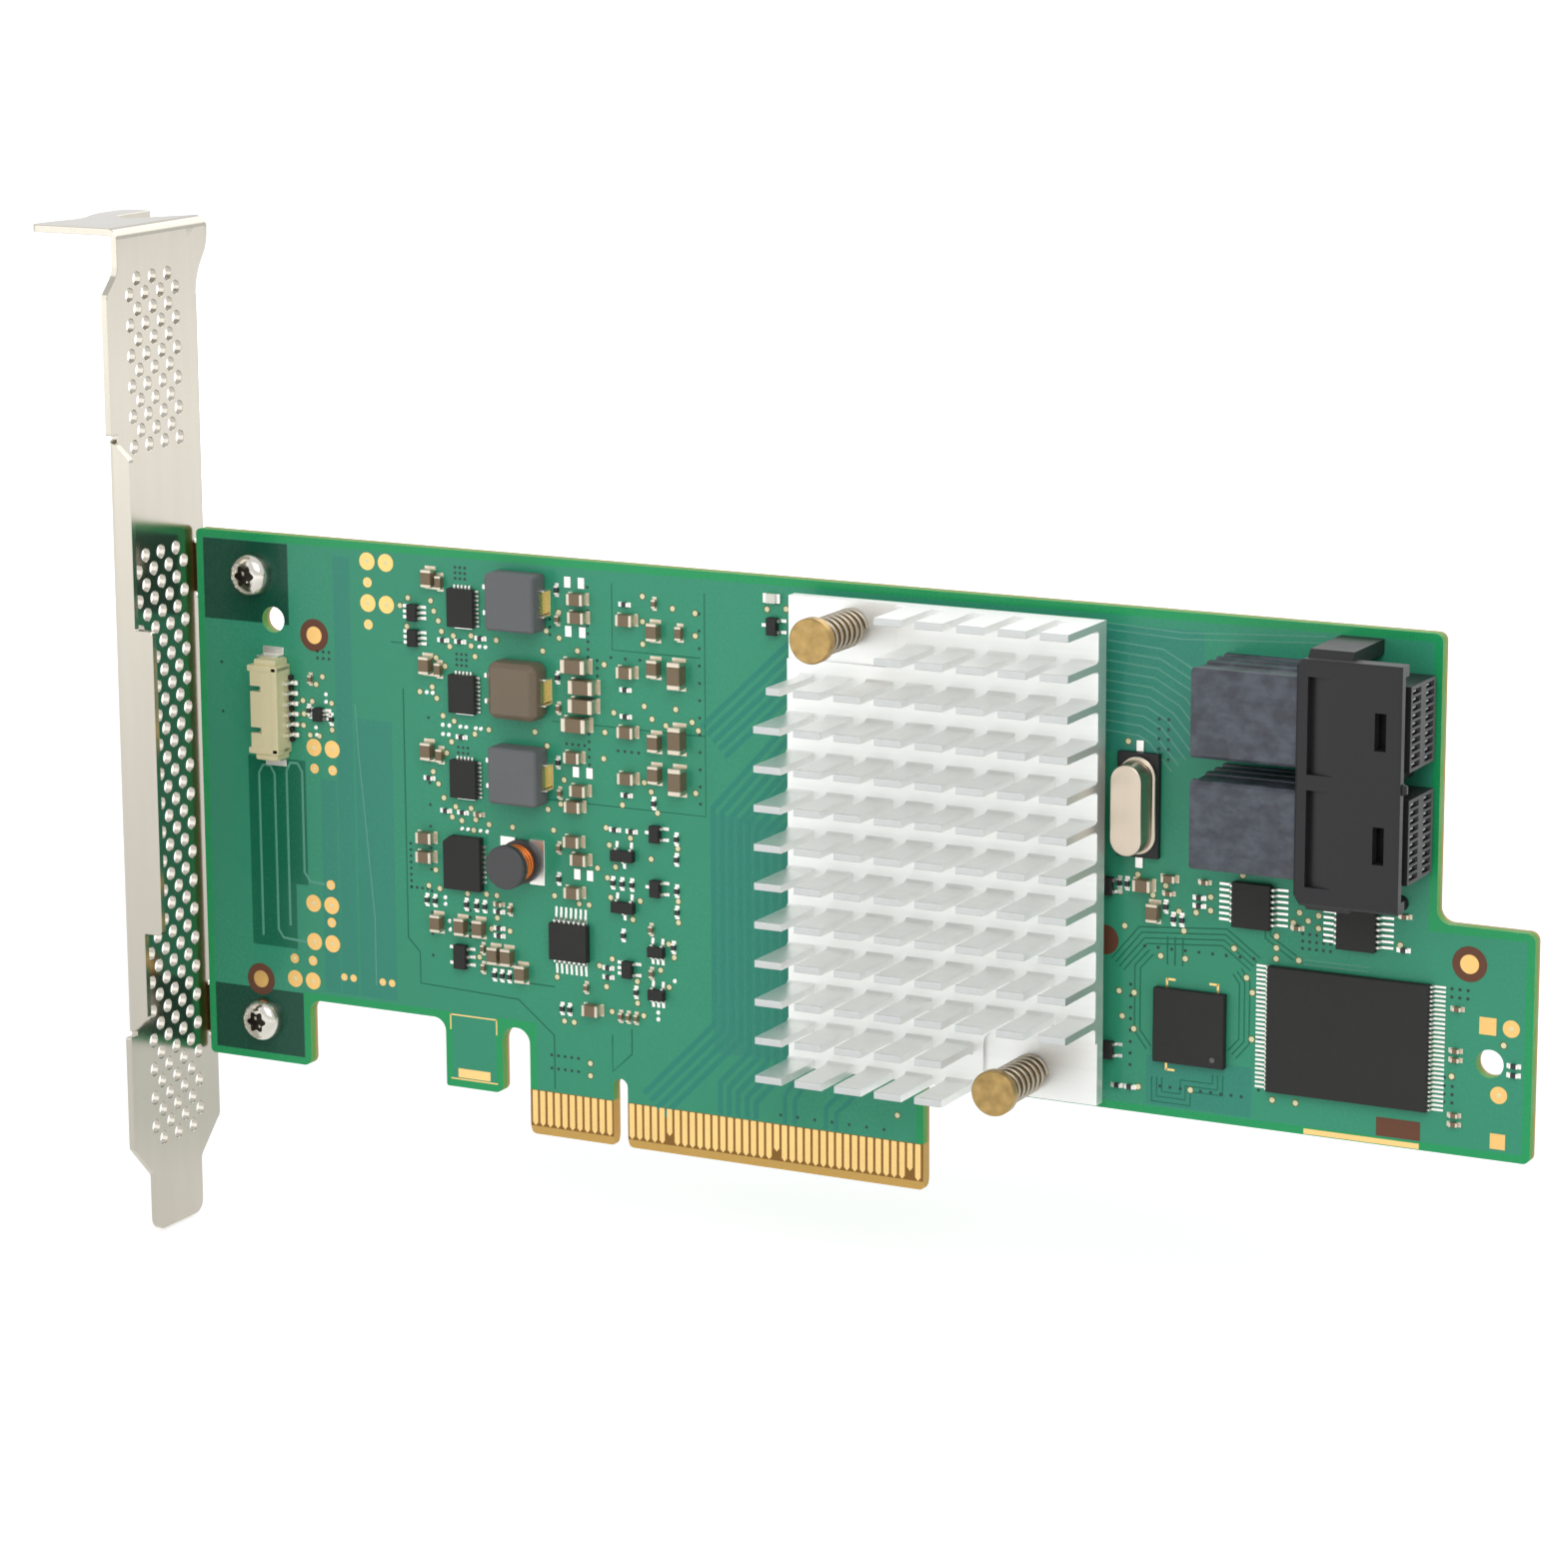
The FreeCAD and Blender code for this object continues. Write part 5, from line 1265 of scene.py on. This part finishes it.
def winding_outline():
    """Half the section of the drum's winding: a bulge for each layer of wire, closed on the core."""
    outline = [(1.3, 1.12)]
    for layer in range(WIRE_LAYERS):
        for step in range(WIRE_STEPS + 1):
            angle = math.pi * (step / WIRE_STEPS - 0.5)
            rise = WIRE_LOW + WIRE_LAYER * layer + 0.27 * math.sin(angle)
            outline.append((1.92 + 0.3 * math.cos(angle), rise))
    return [*outline, (1.3, 3.38), outline[0]]


def build_supply():
    """Square chokes with their terminals, and the wound drum."""
    grey = surface("choke_grey", tone(112, 114, 116), 0.55, 0.75, fine=6000.0, contrast=0.14, bump=0.03,
                   specular=0.3)
    brown = surface("choke_brown", tone(122, 108, 90), 0.35, 0.55, fine=6000.0, contrast=0.14, bump=0.02,
                    specular=0.4)
    strip = surface("terminal_strip", tone(204, 190, 142), 0.2, 0.34, metallic=1.0, contrast=0.12,
                    bump=0.006)
    ferrite = surface("ferrite", tone(70, 70, 72), 0.4, 0.6, bump=0.02)
    wire = surface("enamelled_wire", tone(225, 120, 50), 0.25, 0.4, metallic=0.6, contrast=0.15, bump=0.01)
    dress("power_chokes", grey, 0.14)
    dress("core_choke", brown, 0.16)
    dress("choke_terminals", strip, 0.03, 1)
    bm = bmesh.new()
    for tab in solids_of("choke_terminals"):
        for side in (-1, 1):
            add_block(bm, tab.x - tab.wide / 2 + 0.1, tab.z + side * (tab.high / 2 - 0.1), 0.45, 0.6,
                      0.0, tab.top + 0.4, 0.08)
            add_block(bm, tab.x, tab.z + side * (tab.high / 2 - 0.08), tab.wide, 0.18, 0.0,
                      tab.top + 0.12, 0.04)
    make_piece("terminal_ends", bm, tin())
    drum = solids_of("drum_core")[0]
    core, winding = bmesh.new(), bmesh.new()
    add_turned(core, drum.x, drum.z, DRUM, 40)
    add_turned(winding, drum.x, drum.z, winding_outline(), 32)
    make_piece("drum_core_finished", core, ferrite, ["drum_core"])
    make_piece("drum_winding_finished", winding, wire, ["drum_winding"], smooth=1.2)
    dress("drum_base", tin(), 0.04, 1)


# ================================================================ header and crystal
HEADER_PINS, HEADER_PITCH = 6, 1.25
LATCH, LATCH_HALF = 2.5, 0.35                   # from the middle to each latch slot, and half its width


def header_shell(shell):
    """Cream shell with two end flanges, a long mouth and two latch slots."""
    left, right = shell.x - shell.wide / 2, shell.x + shell.wide / 2
    half, top, wide = shell.high / 2, shell.top, shell.wide
    bm = bmesh.new()
    add_block(bm, right - 0.45, shell.z, 0.9, 2 * half - 1.7, 0.0, top, 0.15, 2)
    add_block(bm, shell.x - 0.3, shell.z, wide - 0.8, 2 * half - 2.6, 0.0, 0.6, 0.1)
    for foot, head in ((-half + 1.3, -LATCH - LATCH_HALF), (-LATCH + LATCH_HALF, LATCH - LATCH_HALF),
                       (LATCH + LATCH_HALF, half - 1.3)):
        add_block(bm, left + 1.25, shell.z + (foot + head) / 2, 1.7, head - foot, top - 0.62, top - 0.08)
    add_block(bm, right - 1.4, shell.z, 2.1, 2 * half - 2.4, top - 0.75, top - 0.1, 0.1)
    for side in (-1, 1):
        add_block(bm, shell.x, shell.z + side * (half - 1.15), wide, 0.8, 0.0, top, 0.18, 2)
        add_block(bm, shell.x + 0.25, shell.z + side * (half - 0.45), wide - 1.1, 0.9, 0.0, top - 0.25,
                  0.25, 2)
    return bm


def build_header():
    """The cream header's shell, its pins and tabs, the solder beside it, and dark blocks between the joints
    that are painted shadow.
    """
    cream = surface("header_cream", paint().cream, 0.35, 0.5, bump=0.008, contrast=0.06)
    # dark finish of the painted shadow between the header's pins
    shade = surface("pin_shadow", tone(24, 26, 24), 0.5, 0.7)
    shell = solids_of("header_housing")[0]
    right = shell.x + shell.wide / 2
    make_piece("header_housing_finished", header_shell(shell), cream, ["header_housing"])
    joints, painted_shadow_comb = bmesh.new(), bmesh.new()
    for shift in spread(HEADER_PINS, HEADER_PITCH):
        add_block(joints, right + 0.85, shell.z + shift, 1.0, 0.66, 0.0, 0.55, 0.2, 2)
    # painted shadow: dark blocks between and beside the solder joints, where the pins' shade falls
    for shift in spread(HEADER_PINS + 1, HEADER_PITCH):
        add_block(painted_shadow_comb, right + 0.25, shell.z + shift, 0.5, 0.5, 0.0, 0.55, 0.05)
    make_piece("header_joints", joints, tin())
    make_piece("header_pin_painted_shadow", painted_shadow_comb, shade)
    dress_all(tin(), {"header_pins": 0.03, "header_tabs": 0.04}, 1)


def build_crystal():
    """Drawn can on its base."""
    can = brushed("crystal_can", tone(200, 187, 170), 0.25, 0.38, (600.0, 600.0, 80.0), contrast=0.05)
    dress("crystal_base", port_plastic(), 0.06)
    dress("crystal_can", can, 0.3, 3)
    dress("crystal_leads", tin(), 0.06)


# ================================================================ passives
SMALL_CAPS_X = [(-18.5, 37.9), (-16.0, 27.4), (68.8, 37.8), (73.0, 39.5), (102.1, 28.8), (102.0, 24.2),
                (102.0, 23.2), (102.0, 17.1), (102.0, 16.1), (96.0, 38.2), (83.8, 35.6)]
SMALL_CAPS_Z = [(-7.5, 61.9), (-7.5, 51.5), (-7.5, 41.5), (-7.7, 35.0), (-14.4, 26.9), (-18.2, 21.8),
                (-18.2, 19.5), (4.4, 26.6), (4.4, 21.4), (-4.3, 18.7), (0.25, 15.8), (1.25, 15.8),
                (2.3, 15.8), (5.2, 64.7), (-41.4, 52.0)]
RESISTORS_X = [
    (-22.95, 58.2), (-20.65, 58.2), (-17.9, 58.8), (-20.7, 46.9), (-25.2, 41.6), (-23.0, 37.9),
    (-20.7, 37.9), (1.3, 64.3), (1.3, 54.4), (1.3, 51.3), (1.3, 42.1), (-0.3, 37.9), (1.9, 37.9),
    (-1.4, 21.4), (-1.4, 20.3), (-16.0, 26.5), (-16.0, 24.5), (-16.0, 23.6), (72.4, 37.7), (72.4, 36.8),
    (95.9, 34.5), (108.5, 23.3), (108.5, 22.3), (62.9, 15.5), (64.4, 15.5),
]
RESISTORS_Z = [
    (-7.6, 65.3), (-7.6, 55.1), (-7.7, 45.1), (-7.8, 31.3), (-25.8, 26.9), (-24.7, 26.9), (-20.4, 26.9),
    (-19.0, 26.9), (-17.9, 26.9), (-16.7, 18.8), (-15.7, 18.8), (-14.7, 18.8), (-7.6, 15.8), (-6.6, 15.8),
    (-0.6, 31.6), (0.6, 31.6), (1.9, 31.6), (0.7, 25.5), (7.8, 37.6), (7.8, 35.2), (7.8, 31.5), (7.8, 29.0),
    (7.3, 24.8), (2.3, 18.9), (4.9, 41.5), (63.0, 38.4), (63.9, 38.4), (68.5, 36.3), (69.4, 35.0),
    (70.4, 35.0), (-41.7, 48.2), (-38.6, 47.4),
]


def chip_part(bodies, ends, x, z, along, length, width, rise, end):
    """One two-ended chip part: a body between two metal ends, on a fillet of solder each."""
    def place(bm, shift, long, wide, low, top, edge):
        """A block that is shifted along the part."""
        if along == "x":
            add_block(bm, x + shift, z, long, wide, low, top, edge)
        else:
            add_block(bm, x, z + shift, wide, long, low, top, edge)
    place(bodies, 0, length - 2 * end, width * 0.98, 0.0, rise * 0.98, width * 0.03)
    for side in (-1, 1):
        place(ends, side * (length - end) / 2, end, width, 0.0, rise, width * 0.06)
        place(ends, side * (length / 2 + 0.05), 0.5, width * 1.08, 0.0, 0.06, 0.0)


CHIP_LENGTH, CHIP_WIDTH = 1.0, 0.5              # of the small parts
CAP_RISE, CAP_END, RESISTOR_RISE, RESISTOR_END = 0.5, 0.25, 0.36, 0.22


def build_passives():
    """Capacitors of two kinds and the resistors, in bodies and metal ends."""
    colours = paint()
    clay = surface("capacitor_ceramic", colours.ceramic, 0.35, 0.5, fine=5000.0, contrast=0.12, bump=0.01)
    dark = surface("resistor_glaze", tone(38, 38, 40), 0.25, 0.4, bump=0.006)
    bodies, ends = bmesh.new(), bmesh.new()
    for cap in solids_of("ceramic_capacitors"):
        length, width = max(cap.wide, cap.high), min(cap.wide, cap.high)
        chip_part(bodies, ends, cap.x, cap.z, "x" if cap.wide > cap.high else "z", length, width,
                  cap.top, length * 0.19)
    for along, spots in (("x", SMALL_CAPS_X), ("z", SMALL_CAPS_Z)):
        for x, z in spots:
            chip_part(bodies, ends, x, z, along, CHIP_LENGTH, CHIP_WIDTH, CAP_RISE, CAP_END)
    make_piece("capacitor_bodies", bodies, clay, ["ceramic_capacitors"])
    plated = surface("plated_ends", colours.cap_end, 0.28, 0.5, metallic=0.9, fine=5000.0, contrast=0.14,
                     bump=0.01)
    make_piece("capacitor_ends", ends, plated)
    bodies, ends = bmesh.new(), bmesh.new()
    for along, spots in (("x", RESISTORS_X), ("z", RESISTORS_Z)):
        for x, z in spots:
            chip_part(bodies, ends, x, z, along, CHIP_LENGTH, CHIP_WIDTH, RESISTOR_RISE, RESISTOR_END)
    make_piece("resistor_bodies", bodies, dark)
    make_piece("resistor_ends", ends, tin())


def build_lamp():
    """Lens and metal ends of the status lamp."""
    lens = surface("lamp_lens", tone(236, 236, 224), 0.15, 0.25, bump=0.002, contrast=0.04)
    dress("status_lamp", lens, 0.08)
    dress("status_lamp_ends", tin(), 0.04, 1)


# ================================================================ bare pads
# round pads as (x, z, diameter), sighting marks and open pairs of lands as (x, z)
ROUND_PADS = [
    (-33.2, 66.7, 2.1), (-30.65, 66.7, 2.1), (-33.2, 61.75, 2.1), (-30.65, 61.75, 2.1), (-41.2, 43.75, 2.1),
    (-38.65, 43.75, 2.1), (-41.8, 24.7, 2.1), (-39.25, 24.7, 2.1), (-41.8, 20.0, 2.1), (-39.25, 20.0, 2.1),
    (-44.7, 15.1, 2.1), (-42.15, 15.1, 2.1), (-33.2, 64.2, 1.2), (-33.2, 59.2, 1.2), (-41.2, 41.2, 1.2),
    (-38.65, 41.2, 1.2), (-39.3, 27.2, 1.2), (-39.3, 22.6, 1.2), (-44.7, 17.6, 1.2), (-42.1, 17.6, 1.2),
    (-37.7, 16.1, 0.9), (-36.4, 16.1, 0.9), (-32.3, 16.1, 0.9), (-31.0, 16.1, 0.9), (108.1, 27.3, 1.9),
    (106.9, 19.9, 1.9),
]
SIGHT_MARKS = [(-40.8, 57.3), (-49.6, 14.5), (103.3, 33.8)]
OPEN_PADS = [(-6.2, 66.3), (-4.4, 66.3), (-6.15, 60.6), (-4.3, 60.6), (-5.4, 44.2), (-3.6, 44.2),
             (-5.4, 32.1), (-3.7, 32.1)]


SQUARE_PADS = [(105.5, 27.3, 1.9), (106.9, 14.8, 1.7)]
# gold on the second tab and along the lower edge as (x, z, wide, high, rise)
GOLD_BARS = [(-19.8, 6.25, 4.4, 1.1, PAD_RISE), (-19.8, 5.5, 6.4, 0.16, LINE_RISE),
             (-19.8, 13.3, 6.4, 0.16, LINE_RISE), (-22.95, 12.4, 0.16, 1.9, LINE_RISE),
             (-16.65, 12.4, 0.16, 1.9, LINE_RISE), (91.5, 13.1, 13.2, 0.6, LINE_RISE)]
MARK_DIA, MARK_RING = 2.1, 3.9


def build_pads():
    """Bare gold pads and marks, the laminate round them, and the open lands."""
    pad = surface("pad_gold", paint().pad, 0.24, 0.4, metallic=1.0, contrast=0.1, bump=0.005)
    pads, centres, bars, bare, lands = [bmesh.new() for _ in range(5)]
    for x, z, dia in ROUND_PADS:
        add_disc(pads, x, z, dia, 0.0, PAD_RISE, 28)
        add_disc(centres, x, z, min(0.55, dia * 0.35), 0.0, 0.05, 14, 0.8)
    for x, z in SIGHT_MARKS:
        add_disc(pads, x, z, MARK_DIA, 0.0, 0.035, 28)
        add_disc(bare, x, z, MARK_RING, 0.0, LINE_RISE, 32)
    for x, z, side in SQUARE_PADS:
        add_block(pads, x, z, side, side, 0.0, PAD_RISE)
    for x, z, wide, high, rise in GOLD_BARS:
        add_block(bars, x, z, wide, high, 0.0, rise)
    add_disc(bare, 61.2, 31.8, 3.4, 0.0, LINE_RISE, 32)
    add_block(bare, 95.7, 14.75, 5.0, 2.1, 0.0, LINE_RISE)
    for x, z in OPEN_PADS:
        add_block(lands, x, z, 0.85, 1.3, 0.0, 0.08, 0.04)
    make_piece("round_pads", pads, pad)
    make_piece("pad_centres", centres, cream_solder())
    make_piece("test_pads", bars, gold())
    make_piece("bare_laminate", bare, surface("bare_laminate", tone(104, 62, 40), 0.5, 0.7, bump=0.01))
    make_piece("open_pads", lands, tin())


# ================================================================ operators and panel
class CARD_OT_board(bpy.types.Operator):
    """The solder-masked board"""
    bl_idname = "card.board"
    bl_label = "Board"

    def execute(self, context):
        build_board()
        return {"FINISHED"}


class CARD_OT_traces(bpy.types.Operator):
    """Traces, vias and test points"""
    bl_idname = "card.traces"
    bl_label = "Traces"

    def execute(self, context):
        build_traces()
        return {"FINISHED"}


class CARD_OT_contacts(bpy.types.Operator):
    """Gold contacts on both faces of the tongue"""
    bl_idname = "card.contacts"
    bl_label = "Edge contacts"

    def execute(self, context):
        build_contacts()
        return {"FINISHED"}


class CARD_OT_pads(bpy.types.Operator):
    """Bare pads and sighting marks"""
    bl_idname = "card.pads"
    bl_label = "Pads"

    def execute(self, context):
        build_pads()
        return {"FINISHED"}


class CARD_OT_bracket(bpy.types.Operator):
    """The folded and vented slot bracket"""
    bl_idname = "card.bracket"
    bl_label = "Bracket"

    def execute(self, context):
        build_bracket()
        return {"FINISHED"}


class CARD_OT_screws(bpy.types.Operator):
    """Two pan-head screws that hold the bracket"""
    bl_idname = "card.screws"
    bl_label = "Screws"

    def execute(self, context):
        build_screws()
        return {"FINISHED"}


class CARD_OT_heatsink(bpy.types.Operator):
    """The cross-cut fins"""
    bl_idname = "card.heatsink"
    bl_label = "Heatsink"

    def execute(self, context):
        build_heatsink()
        return {"FINISHED"}


class CARD_OT_controller(bpy.types.Operator):
    """The chip below the heatsink"""
    bl_idname = "card.controller"
    bl_label = "Controller"

    def execute(self, context):
        build_controller()
        return {"FINISHED"}


class CARD_OT_pins(bpy.types.Operator):
    """Brass pins and their springs"""
    bl_idname = "card.pins"
    bl_label = "Push pins"

    def execute(self, context):
        build_pins()
        return {"FINISHED"}


class CARD_OT_ports(bpy.types.Operator):
    """The double cable port"""
    bl_idname = "card.ports"
    bl_label = "Ports"

    def execute(self, context):
        build_ports()
        return {"FINISHED"}


class CARD_OT_chips(bpy.types.Operator):
    """Moulded packages and their leads"""
    bl_idname = "card.chips"
    bl_label = "Chips"

    def execute(self, context):
        build_chips()
        return {"FINISHED"}


class CARD_OT_supply(bpy.types.Operator):
    """Chokes and the drum inductor"""
    bl_idname = "card.supply"
    bl_label = "Supply"

    def execute(self, context):
        build_supply()
        return {"FINISHED"}


class CARD_OT_header(bpy.types.Operator):
    """The cream cable header"""
    bl_idname = "card.header"
    bl_label = "Header"

    def execute(self, context):
        build_header()
        return {"FINISHED"}


class CARD_OT_crystal(bpy.types.Operator):
    """The timing crystal"""
    bl_idname = "card.crystal"
    bl_label = "Crystal"

    def execute(self, context):
        build_crystal()
        return {"FINISHED"}


class CARD_OT_passives(bpy.types.Operator):
    """Capacitors and resistors"""
    bl_idname = "card.passives"
    bl_label = "Passives"

    def execute(self, context):
        build_passives()
        return {"FINISHED"}


class CARD_OT_lamp(bpy.types.Operator):
    """The status lamp"""
    bl_idname = "card.lamp"
    bl_label = "Lamp"

    def execute(self, context):
        build_lamp()
        return {"FINISHED"}


class CARD_OT_stage(bpy.types.Operator):
    """Floor, lights and camera"""
    bl_idname = "card.stage"
    bl_label = "Stage"

    def execute(self, context):
        build_stage()
        return {"FINISHED"}


OPERATORS = [
    CARD_OT_board, CARD_OT_traces, CARD_OT_contacts, CARD_OT_pads, CARD_OT_bracket, CARD_OT_screws,
    CARD_OT_heatsink, CARD_OT_controller, CARD_OT_pins, CARD_OT_ports, CARD_OT_chips,
    CARD_OT_supply, CARD_OT_header, CARD_OT_crystal, CARD_OT_passives, CARD_OT_lamp,
    CARD_OT_stage,
]


class CARD_PT_pieces(bpy.types.Panel):
    """Lists the card's pieces."""
    bl_label = "Controller card"
    bl_idname = "CARD_PT_pieces"
    bl_space_type = "VIEW_3D"
    bl_region_type = "UI"
    bl_category = "Card"

    def draw(self, context):
        for each in OPERATORS:
            self.layout.operator(each.bl_idname)


CLASSES = [CardSizes, CardColours, CardStage, *OPERATORS, CARD_PT_pieces]


def register():
    """Register the classes, and the properties on the scene."""
    for each in CLASSES:
        bpy.utils.register_class(each)
    bpy.types.Scene.card_sizes = bpy.props.PointerProperty(type=CardSizes)
    bpy.types.Scene.card_colours = bpy.props.PointerProperty(type=CardColours)
    bpy.types.Scene.card_stage = bpy.props.PointerProperty(type=CardStage)


def unregister():
    """Undo what register does."""
    del bpy.types.Scene.card_sizes
    del bpy.types.Scene.card_colours
    del bpy.types.Scene.card_stage
    for each in reversed(CLASSES):
        bpy.utils.unregister_class(each)


def main():
    """Build the card by its operators."""
    register()
    for each in OPERATORS:
        getattr(bpy.ops.card, each.bl_idname.split(".")[1])()


if __name__ == "__main__":
    main()
